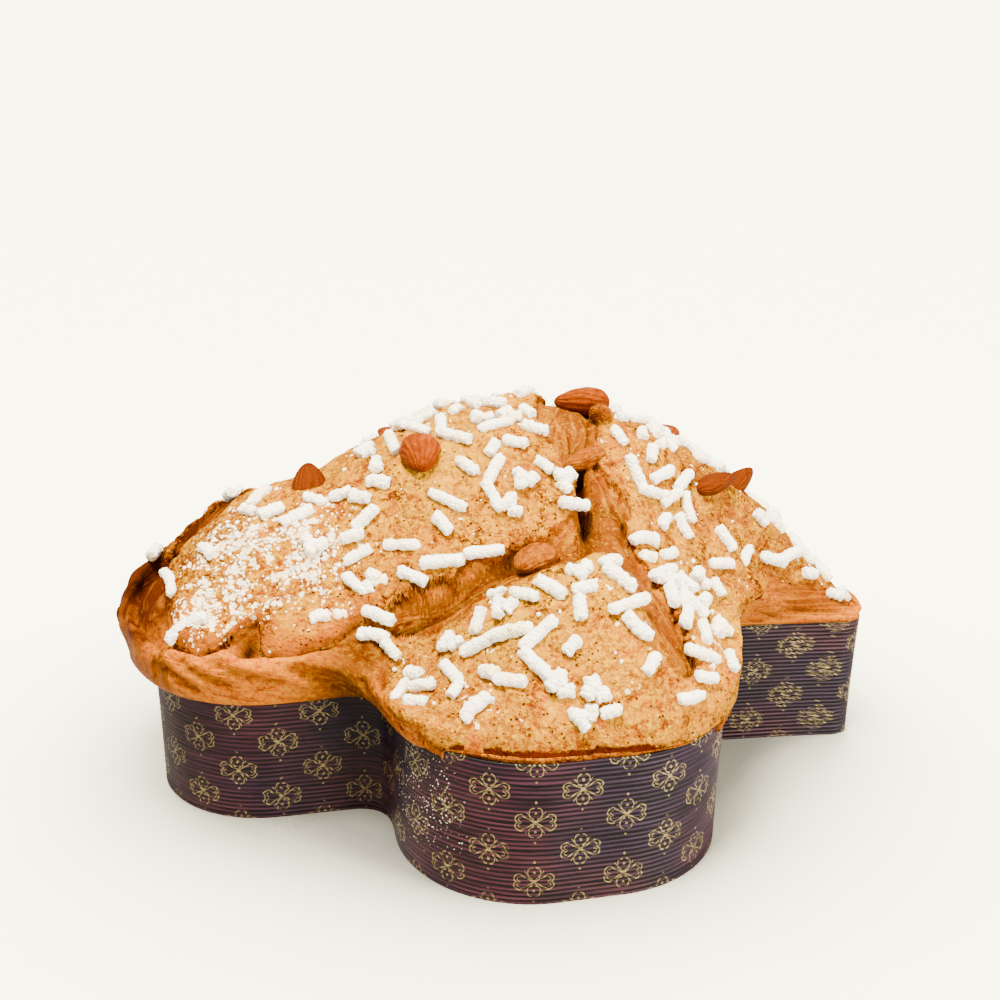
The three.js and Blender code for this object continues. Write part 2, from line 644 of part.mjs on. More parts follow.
function named(name, geometry, finish) {
  const mesh = new THREE.Mesh(geometry, finish);
  mesh.name = name;
  return mesh;
}

function cakeGeometry() {
  let cake = cakeCore();
  for (const nib of nibPlaces().slice(0, NIB.fused)) {
    cake = cake.add(toSolid(nibGeometry(nib)));
  }
  for (const almond of ALMONDS) {
    const pocket = almondGeometry(almond, CLEARANCE).applyMatrix4(almondPlace(almond));
    cake = cake.subtract(toSolid(pocket));
  }
  return toGeometry(mainBody(cake.simplify(SMALLEST_FACET)));
}

const colomba = new THREE.Group();
colomba.add(named('paper_case', paperCase(), paperMaterial));
colomba.add(named('colomba_cake', cakeGeometry(), cakeMaterial));
ALMONDS.forEach((almond, i) => {
  const mesh = named(`almond_${i + 1}`, welded(almondGeometry(almond, 0)), almondMaterial);
  mesh.applyMatrix4(almondPlace(almond));
  colomba.add(mesh);
});

export default colomba;
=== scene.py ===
"""Visual model of a colomba, the dove-shaped Easter cake, in its ribbed paper case.

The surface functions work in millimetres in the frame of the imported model: the head points along -X,
the tail along +X, the wings along -Y and +Y, and the case stands on Z = 0. Meshes are in metres.
"""

import math

import bmesh
import bpy
import numpy as np
from bpy.props import FloatProperty, FloatVectorProperty, IntProperty, PointerProperty
from mathutils import Matrix, Vector, noise


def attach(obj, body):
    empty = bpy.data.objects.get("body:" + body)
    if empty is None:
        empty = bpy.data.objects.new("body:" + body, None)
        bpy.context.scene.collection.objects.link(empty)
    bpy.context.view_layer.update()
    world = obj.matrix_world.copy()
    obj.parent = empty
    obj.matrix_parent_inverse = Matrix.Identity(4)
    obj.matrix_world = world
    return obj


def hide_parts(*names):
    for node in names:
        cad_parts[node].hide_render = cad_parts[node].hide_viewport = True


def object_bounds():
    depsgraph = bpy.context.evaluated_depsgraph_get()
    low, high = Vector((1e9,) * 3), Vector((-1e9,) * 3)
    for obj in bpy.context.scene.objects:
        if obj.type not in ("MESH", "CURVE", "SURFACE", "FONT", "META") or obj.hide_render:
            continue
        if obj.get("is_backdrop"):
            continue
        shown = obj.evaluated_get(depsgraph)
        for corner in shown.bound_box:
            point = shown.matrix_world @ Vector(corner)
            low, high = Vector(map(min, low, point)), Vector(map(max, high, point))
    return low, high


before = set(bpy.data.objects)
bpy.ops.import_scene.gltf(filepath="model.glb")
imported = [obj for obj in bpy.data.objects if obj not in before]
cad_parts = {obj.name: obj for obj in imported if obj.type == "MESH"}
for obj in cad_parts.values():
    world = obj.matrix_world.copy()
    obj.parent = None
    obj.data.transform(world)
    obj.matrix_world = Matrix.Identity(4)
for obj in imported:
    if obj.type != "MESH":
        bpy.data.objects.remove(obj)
CAD_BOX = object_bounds()

bl_info = {
    "name": "Colomba cake",
    "version": (1, 0, 0),
    "blender": (4, 5, 0),
    "location": "3D View > Sidebar > Colomba",
    "description": "Builds a glazed dove-shaped Easter cake in its paper case",
    "category": "Add Mesh",
}

MM = 0.001

# ---- Plan of the case, and how far the dough fills the armpits --------------------------------------

HEAD_REACH, HEAD_HALF, HEAD_CORNER = 157.5, 57.0, 47.0
TAIL_REACH, TAIL_HALF, TAIL_WAIST, TAIL_CORNER = 159.0, 38.5, 30.0, 12.0
WING_HALF, WING_REACH, WING_CORNER = 65.5, 134.5, 53.0
CASE_FILLET = 16.0
HEAD_FILL = 40.0
TAIL_FILL = 72.0

# Round the rim, by angle from +X in degrees: overhang, height of the widest line above the rim, width
# of the rounded shoulder, droop below the rim, and how far in from the widest line the glaze ends, or how
# far below it where negative.
RIM_STATIONS = (
    (-180, 14, 14, 55, 3, 20),
    (-165, 12, 14, 52, 4, 13),
    (-150, 9, 15, 48, 4.5, 7),
    (-139, 5, 13, 46, 4, 14),
    (-122, 6, 12, 46, 2, -5),
    (-106, -3.5, 5, 46, 0, -20),
    (-90, -2.5, 4, 46, 0, -20),
    (-75, 0.5, 5, 46, 0, -20),
    (-60, 5, 14, 46, 0, -16),
    (-45, 9, 24, 46, 0, -12),
    (-27, 9, 24, 40, 0, -2),
    (-14, 0, 3, 16, 0, 3.5),
    (0, 1, 3, 14, 0, 5),
    (14, 2, 4, 18, 0, 2),
    (27, 8, 16, 40, 1, 2),
    (60, 7, 14, 46, 2, -6),
    (90, 6, 10, 46, 2, -5),
    (120, 8, 12, 46, 2, -6),
    (139, 6, 14, 46, 2, 4),
    (160, 12, 13, 50, 3, 12),
)

# The dome: a body ridge from head to tail, and two wings that meet it in valleys.
DOME_HEIGHT, DOME_X, DOME_Y, DOME_HALF = 100.5, 4.0, 4.0, 84.5
HEAD_DROP, HEAD_RUN, TAIL_CURVE = 20.3, 44.0, 0.0042
NECK_X, NECK_RUN, NECK_DIP = -85.0, 16.0, 6.0
WING_NEAR, WING_FAR, WING_X, WING_CURVE = 57.0, 70.0, 14.0, 0.0078
WING_TIP_FROM, WING_TIP_CURVE = 60.0, 0.0016
VALLEY_BLEND = 16.0

# Torn openings in the glaze: centre lines of x, y and half width.
GLAZE_THICKNESS = 3.0
TEARS = (
    ((30, 28, 9), (26, 12, 12), (21, -8, 12), (18, -26, 10.5), (23, -39, 6), (26, -50, 11), (22, -62, 13)),
    ((20, -62, 12), (4, -69, 11), (-10, -70, 11), (-22, -67, 6.5), (-37, -68, 7), (-49, -66, 5.5),
     (-61, -63, 5)),
    ((24, -62, 12), (28, -76, 8), (29, -92, 8.5), (33, -106, 9), (38, -114, 6)),
    ((-30, 62, 4), (-12, 68, 7), (10, 66, 8), (34, 60, 5)),
    ((-157, -42, 9), (-161, -24, 10), (-161, -6, 10), (-153, 8, 9), (-140, 14, 7), (-122, 16, 5),
     (-106, 16, 2)),
)
# Deep creases in the bare dough: half width, then x, y and depth.
CREASES = (
    (3.4, ((21, -24, 3), (19, -34, 14), (19, -44, 15), (18, -56, 10), (15, -70, 7), (12, -78, 2))),
    (4.2, ((2, -59, 6), (-10, -60, 12), (-26, -62, 8), (-44, -62, 10), (-60, -62, 11))),
    (3.0, ((-28, 64, 3), (0, 68, 8), (30, 62, 3))),
    (2.4, ((-156, -34, 1), (-163, -20, 3), (-165, -6, 4), (-161, 8, 4), (-150, 15, 4), (-136, 15, 3),
           (-120, 13, 1))),
    (8.0, ((-153, -30, 2), (-156, -12, 3), (-151, 4, 3), (-141, 9, 2))),
    (4.5, ((-121, -58, 7), (-115, -58, 7))),
    (2.4, ((-157, -32, 2), (-154, -39, 4), (-149, -45, 5), (-145, -49, 4), (-140, -52, 2))),
)
# The curled edge at the tip of the head: half width, then x, y and height.
CURL = (3.6, ((-160, -38, 1), (-168, -24, 3.5), (-171, -8, 5), (-167, 12, 5.5), (-154, 21, 5.5),
              (-137, 21, 4.5), (-119, 18, 3), (-106, 16, 0)))
# The flap that hangs over the near side of the head: its wavy edge as angle and inset.
FLAP = ((-168, 13), (-163.2, 6.7), (-159.9, 4.5), (-157.2, 2), (-155.3, 10), (-153.2, 3.5), (-150.3, 1.5),
        (-148, 1.8), (-145.9, 4.5), (-143, 9), (-138, 13))
FLAP_STEP, FLAP_BLEND = 3.0, 2.2
# The recess in the flap's edge, painted dark on the dough as shade: x, y and half its size along each; and
# the folds in the dough below the flap, their creases painted dark as shade, from one angle and inset to
# another.
RECESS = (-119.0, -57.0, 5.5, 4.5)
FOLDS = (((-155.3, 1), (-149, -8)), ((-159, 0), (-154, -9)), ((-147, -3), (-142, -13)),
         ((-163, -2), (-158, -12)))
HEAD_MM_PER_DEGREE = HEAD_REACH * math.radians(0.85)
# Low swells over the whole crust: wavelength, heading and height.
LUMPS = ((61, 20, 1.1), (43, 95, 0.9), (29, 140, 0.7))

# Mean distance of the crust's edge from the middle of the cake, and the armpit where the dough shows, its
# dough partly painted dark as shade: x, y and reach.
MEAN_RADIUS = 120
ARMPIT = ((-76, -68, 20),)

# Share of the places that hold a sugar nib, on most of the crust and round each x, y within a reach.
SUGAR_SHARE = 0.42
SUGAR_PATCHES = ((-125, -15, 85, 0), (-125, -50, 30, 0), (-62, -48, 24, 0), (-22, -12, 30, 0.9),
                 (62, -14, 34, 1), (52, -82, 26, 1), (-60, -92, 16, 1), (5, -128, 22, 0.3))
# The few nibs on the head, laid one by one: x, y, heading and length.
HEAD_NIBS = (
    (-149, -18, -89, 20), (-133, -22, -68, 8), (-116, -12, -57, 9), (-107, -17, 19, 10), (-97, -23, 24, 14),
    (-89, -16, -44, 10), (-71, -26, -34, 8), (-70, -33, -141, 12), (-74, -42, 19, 12), (-57, -46, -17, 14),
    (-76, -50, -70, 13), (-69, -52, 7, 9), (-54, -55, -57, 12), (-42, -55, -2, 17), (-91, -55, 7, 7),
    (-71, -65, -32, 12), (-65, -71, -73, 9),
)
# Where sugar dust lies thickly on the head: x, y and reach.
DUST_PATCHES = ((-110, -41, 11), (-97, -35, 11), (-86, -33, 10), (-125, -44, 13), (-136, -42, 10),
                (-86, -44, 9), (-130, -19, 12), (-118, -28, 9))
# Where the glaze is palest: x, y and reach.
PALE_PATCHES = ((12, -86, 20), (-24, -96, 14), (-36, -22, 20), (60, -78, 18), (-4, 18, 18))

# Almonds: seat x, y, heading, tilt, roll, length, width, thickness, sunk share.
ALMONDS = (
    (31, 3, 170, 2, 55, 25, 16, 12, 0.12),
    (35, -12, 250, 25, 0, 13, 10, 8, 0.3),
    (23, -29, 200, -8, 25, 22, 13, 9, 0.25),
    (-7, -66, 225, -5, 10, 21, 18, 11, 0.3),
    (-46, -25, 268, -30, 0, 18, 17, 15, 0.35),
    (-90, -2, 95, 70, 0, 25, 18, 12, 0.64),
    (103, -8, 20, 32, 20, 21, 11, 8, 0.35),
    (85, -25, 15, 12, 20, 21, 11, 8, 0.35),
    (-48, 36, 120, 5, 10, 24, 15, 9, 0.35),
    (-12, 92, 60, 4, 0, 25, 15, 9, 0.35),
    (44, 82, 340, -6, -15, 23, 14, 9, 0.35),
    (78, 22, 45, 0, 10, 24, 15, 9, 0.35),
)
COATED_ALMONDS = (2, 3, 4)
DARK_ALMONDS = (6, 7, 8)

# The case's ribs, its printed ornament with the size and start of the repeat, and where sugar dusts it.
RIM_HEIGHT = 58.0
RIB_PITCH = RIM_HEIGHT / 30
ORNAMENT_WIDTH, ORNAMENT_HEIGHT, ORNAMENT_START = 34.0, 25.0, 3.0
DUST_PLACE = (-64.0, -108.0, 34.0)


# ---- Small maths ------------------------------------------------------------------------------------

def ease(value, low, high):
    """Smooth step from 0 at low to 1 at high."""
    t = np.clip((np.asarray(value, float) - low) / (high - low), 0, 1)
    return t * t * (3 - 2 * t)


def bell(value, run):
    return np.exp(-(np.asarray(value) / run) ** 2)


def smooth_min(a, b, blend):
    h = np.clip(0.5 + 0.5 * (b - a) / blend, 0, 1)
    return b * (1 - h) + a * h - blend * h * (1 - h)


def smooth_max(a, b, blend):
    return -smooth_min(-a, -b, blend)


def along_line(line, x, y):
    """Distance to a line of points, the value there, the length along it and the signed offset."""
    best = np.full(x.shape, np.inf)
    value, along, side = np.zeros(x.shape), np.zeros(x.shape), np.zeros(x.shape)
    run = 0.0
    for (ax, ay, av), (bx, by, bv) in zip(line, line[1:]):
        dx, dy = bx - ax, by - ay
        length = math.hypot(dx, dy)
        t = np.clip(((x - ax) * dx + (y - ay) * dy) / length**2, 0, 1)
        distance = np.hypot(x - ax - t * dx, y - ay - t * dy)
        nearer = distance < best
        best = np.where(nearer, distance, best)
        value = np.where(nearer, av + t * (bv - av), value)
        along = np.where(nearer, run + t * length, along)
        side = np.where(nearer, np.sign(dx * (y - ay) - dy * (x - ax)) * distance, side)
        run += length
    return best, value, along, side


def wobble(points, size, seed=0.0):
    """Smooth noise from about -1 to 1 at points, with features of a given size."""
    shift = Vector((seed * 7.3, seed * 3.1, seed * 5.7))
    return np.array([noise.noise(Vector(p) / size + shift) for p in points])


def draws(seed):
    """A seeded stream of numbers from 0 to 1."""
    state = seed
    while True:
        state = (state * 1664525 + 1013904223) & 0xFFFFFFFF
        yield state / 2**32


# ---- The cake's form --------------------------------------------------------------------------------

def round_box(x, y, half_x, half_y, corner):
    qx, qy = np.abs(x) - half_x + corner, np.abs(y) - half_y + corner
    return np.minimum(np.maximum(qx, qy), 0) + np.hypot(np.maximum(qx, 0), np.maximum(qy, 0)) - corner


def lobes(x, y):
    side = np.abs(y)
    waist = TAIL_WAIST + (TAIL_HALF - TAIL_WAIST) * np.clip(x / TAIL_REACH, 0, 1) ** 3
    head = round_box(x + HEAD_REACH / 2, side, HEAD_REACH / 2, HEAD_HALF, HEAD_CORNER)
    tail = round_box(x - TAIL_REACH / 2, side * TAIL_HALF / waist, TAIL_REACH / 2, TAIL_HALF, TAIL_CORNER)
    wing = round_box(x, side, WING_HALF, WING_REACH, WING_CORNER)
    return head, tail, wing


def case_distance(x, y):
    head, tail, wing = lobes(x, y)
    return smooth_min(smooth_min(head, tail, 1), wing, CASE_FILLET)


def crust_distance(x, y):
    head, tail, wing = lobes(x, y)
    return np.minimum(smooth_min(head, wing, HEAD_FILL), smooth_min(tail, wing, TAIL_FILL))


def radius_at(distance, angle, offset):
    """Distance from the origin along each angle to the line at an offset outside a plan."""
    c, s = np.cos(angle), np.sin(angle)
    inside, outside = np.zeros(angle.shape), np.full(angle.shape, 300.0)
    for _ in range(26):
        middle = (inside + outside) / 2
        within = distance(middle * c, middle * s) < offset
        inside, outside = np.where(within, middle, inside), np.where(within, outside, middle)
    return (inside + outside) / 2


def rim_at(angle):
    """Overhang, widest height, shoulder, droop and glaze inset at each angle."""
    degrees = (np.degrees(angle) + 540) % 360 - 180
    table = np.array(RIM_STATIONS + ((RIM_STATIONS[0][0] + 360,) + RIM_STATIONS[0][1:],), float)
    i = np.clip(np.searchsorted(table[:, 0], degrees, side="right") - 1, 0, len(table) - 2)
    t = np.clip((degrees - table[i, 0]) / (table[i + 1, 0] - table[i, 0]), 0, 1)
    t = t * t * (3 - 2 * t)
    return [table[i, k] + t * (table[i + 1, k] - table[i, k]) for k in range(1, 6)]


def facet_angles(count):
    """Angles spread evenly along the case's outline, and closer round its corners."""
    steps, turn_weight = 1440, 9.0
    angle = -math.pi + 2 * math.pi * np.arange(steps) / steps
    r = radius_at(case_distance, angle, 0)
    point = r * np.exp(1j * angle)
    ahead = np.roll(point, -1) - point
    turn = np.abs(np.angle(ahead / np.roll(ahead, 1)))
    measure = np.concatenate(([0], np.cumsum(np.abs(ahead) + turn_weight * turn)))
    steps_at = np.interp(measure[-1] * np.arange(count) / count, measure, np.arange(steps + 1))
    return -math.pi + 2 * math.pi * steps_at / steps


def dome_height(x, y):
    dx, dy = x - DOME_X, y - DOME_Y
    drop = np.where(dx < 0, HEAD_DROP * (np.hypot(1, dx / HEAD_RUN) - 1), TAIL_CURVE * dx**2)
    ridge = DOME_HEIGHT - drop - NECK_DIP * bell(x - NECK_X, NECK_RUN)
    across = np.abs(dy) / DOME_HALF
    body = ridge * np.maximum(1 - across**2, 0) ** 0.75 - 60 * np.maximum(across - 1, 0)
    past = np.abs(dy) - WING_TIP_FROM
    top = np.where(dy < 0, WING_NEAR, WING_FAR)
    wing = top - WING_CURVE * (x - WING_X) ** 2 - WING_TIP_CURVE * past * np.abs(past)
    return smooth_max(body, wing, VALLEY_BLEND)


def tear_margin(x, y):
    """Distance outside the nearest tear's edge, negative within it."""
    margin = np.full(x.shape, np.inf)
    for line in TEARS:
        distance, width, _, _ = along_line(line, x, y)
        margin = np.minimum(margin, distance - width)
    return margin


def torn_depth(x, y):
    margin = tear_margin(x, y)
    depth = GLAZE_THICKNESS * ease(-margin, -1, 2) + 0.16 * np.maximum(-margin, 0)
    for width, line in CREASES:
        distance, deep, _, _ = along_line(line, x, y)
        depth = depth + deep * bell(distance, width)
    return depth


def flap_edge(angle):
    """Inset of the flap's edge at each angle, and how much of the flap is there."""
    degrees = np.degrees(angle)
    stations, insets = np.array(FLAP).T
    first, last = stations[0], stations[-1]
    here = ease(degrees, first, first + 4) * (1 - ease(degrees, last - 4, last))
    return np.interp(degrees, stations, insets), here


def flap_step(angle, inset):
    edge, here = flap_edge(angle)
    return here * FLAP_STEP * (1 - ease(inset - edge, -FLAP_BLEND, FLAP_BLEND))


def recess(x, y):
    """How deep within the flap's recess a point is, from 0 to 1."""
    middle_x, middle_y, half_x, half_y = RECESS
    return bell(np.hypot((x - middle_x) / half_x, (y - middle_y) / half_y), 1)


def fold_distance(angle, inset):
    """Distance to the nearest fold in the dough below the flap."""
    along = np.degrees(angle) * HEAD_MM_PER_DEGREE
    lines = [[(at * HEAD_MM_PER_DEGREE, depth, 0) for at, depth in fold] for fold in FOLDS]
    return np.minimum.reduce([along_line(line, along, inset)[0] for line in lines])


def curl_height(x, y):
    width, line = CURL
    distance, height, _, _ = along_line(line, x, y)
    return height * bell(distance, width)


def lumps(x, y):
    total = 0
    for wave, angle, height in LUMPS:
        c, s = math.cos(math.radians(angle)), math.sin(math.radians(angle))
        along, across = x * c + y * s, y * c - x * s
        total = total + height * np.sin(2 * math.pi * along / wave) * np.cos(1.7 * math.pi * across / wave)
    return total


def dome_surface(x, y):
    """Height of the crust above the rim without tears or the flap's step, and its inset."""
    angle = np.arctan2(y, x)
    overhang, widest, shoulder, _, _ = rim_at(angle)
    inset = np.maximum(overhang - crust_distance(x, y), 0)
    t = np.clip(inset / shoulder, 0, 1)
    rounded = (1 - (1 - t) ** 1.6) ** 0.62
    dome = widest + (dome_height(x, y) - widest) * rounded
    return dome + (lumps(x, y) + curl_height(x, y)) * ease(inset, 0, 6), inset, angle


def crust_height(x, y, case_height):
    """Height of the crust above the ground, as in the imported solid."""
    dome, inset, angle = dome_surface(x, y)
    return case_height + dome - torn_depth(x, y) * ease(inset, 0, 6) - flap_step(angle, inset)


def glaze_margin(x, y, angle, inset):
    """Distance inside the glaze from its nearest edge, negative on bare dough."""
    ends = rim_at(angle)[4]
    flap, here = flap_edge(angle)
    return np.minimum(tear_margin(x, y), inset - ends - here * (flap - ends))


# ---- Meshes -----------------------------------------------------------------------------------------

def new_piece(bm, name, material, replaces=()):
    """Turns a bmesh in millimetres into a finished piece riding on the cake."""
    bmesh.ops.recalc_face_normals(bm, faces=bm.faces)
    for face in bm.faces:
        face.smooth = True
    bmesh.ops.scale(bm, vec=(MM, MM, MM), verts=bm.verts)
    mesh = bpy.data.meshes.new(name)
    bm.to_mesh(mesh)
    bm.free()
    piece = bpy.data.objects.new(name, mesh)
    bpy.context.scene.collection.objects.link(piece)
    mesh.materials.append(material)
    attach(piece, "root")
    if replaces:
        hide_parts(*replaces)
    return piece


def point_values(piece, name, values):
    """Stores one number for each vertex, for the materials to read."""
    layer = piece.data.attributes.new(name, "FLOAT", "POINT")
    layer.data.foreach_set("value", np.asarray(values, np.float32))


def positions(bm):
    return np.array([v.co[:] for v in bm.verts])


def join(bm, part):
    """Moves everything in a part into a larger bmesh."""
    mesh = bpy.data.meshes.new("part")
    part.to_mesh(mesh)
    part.free()
    bm.from_mesh(mesh)
    bpy.data.meshes.remove(mesh)


def extrude(bm, edges):
    """Extrudes edges, and returns the new vertices and edges."""
    made = bmesh.ops.extrude_edge_only(bm, edges=edges)["geom"]
    verts = [v for v in made if isinstance(v, bmesh.types.BMVert)]
    return verts, [e for e in made if isinstance(e, bmesh.types.BMEdge)]


def place(verts, points):
    for vert, point in zip(verts, points):
        vert.co = point


def wrap_grid(bm, cells, ring):
    """Adds a square grid wrapped onto the plan inside a ring, and returns x and y for its vertices."""
    bmesh.ops.create_grid(bm, x_segments=cells, y_segments=cells, size=1)
    square = positions(bm)
    sx, sy = square[:, 0], square[:, 1]
    share = np.maximum(np.abs(sx), np.abs(sy))
    u, v = sx / np.maximum(share, 1e-9), sy / np.maximum(share, 1e-9)
    side, near_one = cells / 2, 1 - 1e-6
    place_round = np.select(
        [u <= -near_one, v <= -near_one, u >= near_one], [-side * v, side * (2 + u), side * (4 + v)],
        side * (6 - u)) % (4 * cells)
    low = np.floor(place_round + 1e-6).astype(int)
    t = np.clip(place_round - low, 0, 1)[:, None]
    edge = ring[low % len(ring)] * (1 - t) + ring[(low + 1) % len(ring)] * t
    reach = 0.5 * share + 0.5 * np.sin(share * math.pi / 2)
    return edge * reach[:, None]


def crust_sheet(bm, cells, case_height):
    """Adds the whole crust, down over its edge to inside the case, as a sheet for a piece to shape.

    Returns x, y, the smooth dome's height, the angle, and the inset from the widest line, which is
    negative below it.
    """
    round_angle = facet_angles(4 * cells)
    overhang, widest, _, droop, _ = rim_at(round_angle)
    outer = radius_at(crust_distance, round_angle, overhang)
    xy = wrap_grid(bm, cells, outer[:, None] * np.column_stack((np.cos(round_angle), np.sin(round_angle))))
    x, y = xy[:, 0], xy[:, 1]
    dome, inset, angle = dome_surface(x, y)
    place(bm.verts, np.column_stack((x, y, case_height + dome)))
    hang = -0.8 + (droop + 0.8) * ease(overhang, 2, 5)
    inner = radius_at(case_distance, round_angle, np.maximum(0.4 * overhang, np.minimum(overhang, 0.5)))
    within = radius_at(case_distance, round_angle, np.minimum(overhang, -2.2))
    rows = []
    for turn in np.linspace(0, math.pi / 2, 13)[1:]:
        rows.append((inner + (outer - inner) * math.cos(turn), widest - (widest + hang) * math.sin(turn)))
    rows.append((within, np.full(outer.shape, -1.5)))
    rows.append((within, np.full(outer.shape, -12.0)))
    edges = [e for e in bm.edges if e.is_boundary]
    below, last_r, last_z = np.zeros(outer.shape), outer, widest
    for r, z in rows:
        below = below + np.hypot(r - last_r, z - last_z)
        last_r, last_z = r, z
        verts, edges = extrude(bm, edges)
        here = np.array([math.atan2(v.co.y, v.co.x) for v in verts])
        rr, zz, bb = (np.interp(here, round_angle, row, period=2 * math.pi) for row in (r, z, below))
        place(verts, np.column_stack((rr * np.cos(here), rr * np.sin(here), case_height + zz)))
        x, y = np.append(x, rr * np.cos(here)), np.append(y, rr * np.sin(here))
        dome, angle, inset = np.append(dome, zz), np.append(angle, here), np.append(inset, -bb)
    return x, y, dome, angle, inset


# ---- Materials --------------------------------------------------------------------------------------

class Tree:
    """Short calls for building a node tree."""

    def __init__(self, tree):
        self.tree = tree

    def node(self, kind, inputs=None, **settings):
        node = self.tree.nodes.new(kind)
        for key, value in settings.items():
            setattr(node, key, value)
        for key, value in (inputs or {}).items():
            self.feed(node.inputs[key], value)
        return node

    def feed(self, socket, value):
        if isinstance(value, bpy.types.NodeSocket):
            self.tree.links.new(value, socket)
        elif isinstance(value, (tuple, list)) and len(value) == 3 and socket.type == "RGBA":
            socket.default_value = (*value, 1)
        else:
            socket.default_value = value

    def math(self, operation, a, b=0.0):
        return self.node("ShaderNodeMath", {0: a, 1: b}, operation=operation).outputs[0]

    def plus(self, a, b):
        return self.math("ADD", a, b)

    def minus(self, a, b):
        return self.math("SUBTRACT", a, b)

    def times(self, a, b):
        return self.math("MULTIPLY", a, b)

    def most(self, first, *others):
        for other in others:
            first = self.math("MAXIMUM", first, other)
        return first

    def total(self, *parts):
        """The sum of values, each with its weight."""
        total = self.times(*parts[0])
        for value, weight in parts[1:]:
            total = self.plus(total, self.times(value, weight))
        return total

    def remap(self, value, low, high, out_low=0.0, out_high=1.0):
        """The value from low to high spread evenly from out_low to out_high, and held at both ends."""
        inputs = {0: value, 1: low, 2: high, 3: out_low, 4: out_high}
        return self.node("ShaderNodeMapRange", inputs).outputs[0]

    def mix(self, factor, a, b):
        node = self.node("ShaderNodeMix", data_type="RGBA")
        self.feed(node.inputs[0], factor)
        self.feed(node.inputs[6], a)
        self.feed(node.inputs[7], b)
        return node.outputs[2]

    def noise(self, vector, size, detail=2.0, rough=0.5, distortion=0.0):
        """Noise with features of a size in millimetres."""
        node = self.node("ShaderNodeTexNoise", {
            "Vector": vector, "Scale": 1 / (size * MM), "Detail": detail, "Roughness": rough,
            "Distortion": distortion})
        return node.outputs[0]

    def cells(self, vector, size, feature="F1"):
        """Distance in cells of a size in millimetres, from their middles or their edges."""
        inputs = {"Vector": vector, "Scale": 1 / (size * MM)}
        return self.node("ShaderNodeTexVoronoi", inputs, feature=feature).outputs["Distance"]

    def bent(self, vector, size, detail, rough, reach):
        """The vector shifted by up to a reach, by noise with features of a size, both in millimetres."""
        inputs = {"Vector": vector, "Scale": 1 / (size * MM), "Detail": detail, "Roughness": rough}
        shift = self.node("ShaderNodeTexNoise", inputs).outputs[1]
        shift = self.node("ShaderNodeVectorMath", {0: shift, "Scale": reach * MM}, operation="SCALE")
        return self.node("ShaderNodeVectorMath", {0: vector, 1: shift.outputs[0]}, operation="ADD").outputs[0]

    def layers(self, colour, *rows):
        """Lays colours over one another: value, its low and high, the share there, and the colour."""
        for value, low, high, share_low, share_high, over in rows:
            colour = self.mix(self.remap(value, low, high, share_low, share_high), colour, over)
        return colour

    def attribute(self, name):
        return self.node("ShaderNodeAttribute", attribute_name=name).outputs["Fac"]

    def coordinates(self, output="Object"):
        return self.node("ShaderNodeTexCoord").outputs[output]

    def bump(self, height, distance, strength=1.0):
        inputs = {"Height": height, "Distance": distance * MM, "Strength": strength}
        return self.node("ShaderNodeBump", inputs).outputs[0]


def new_material(name):
    material = bpy.data.materials.new(name)
    material.use_nodes = True
    tree = Tree(material.node_tree)
    shader = material.node_tree.nodes["Principled BSDF"]
    return material, tree, shader


def finish_shader(tree, shader, **inputs):
    for key, value in inputs.items():
        tree.feed(shader.inputs[key.replace("_", " ")], value)


def granules_group():
    """Granules scattered where a share is high, for sugar dust, as a mask."""
    group = bpy.data.node_groups.new("granules", "ShaderNodeTree")
    group.interface.new_socket("Place", in_out="INPUT", socket_type="NodeSocketVector")
    group.interface.new_socket("Share", in_out="INPUT", socket_type="NodeSocketFloat")
    group.interface.new_socket("Mask", in_out="OUTPUT", socket_type="NodeSocketFloat")
    tree = Tree(group)
    inputs = tree.node("NodeGroupInput").outputs
    at = tree.bent(inputs[0], 2.2, 2.0, 0.5, 1.6)
    mask = None
    for size, width in ((2.7, 0.6), (1.4, 0.5)):
        cell = tree.node("ShaderNodeTexVoronoi", {"Vector": at, "Scale": 1 / (size * MM)})
        lot = tree.node("ShaderNodeSeparateColor", {0: cell.outputs["Color"]}).outputs[0]
        there = tree.math("GREATER_THAN", inputs[1], lot)
        grain = tree.times(tree.remap(cell.outputs["Distance"], width * 0.7, width, 1, 0), there)
        mask = grain if mask is None else tree.most(mask, grain)
    tree.feed(tree.node("NodeGroupOutput").inputs[0], mask)
    return group


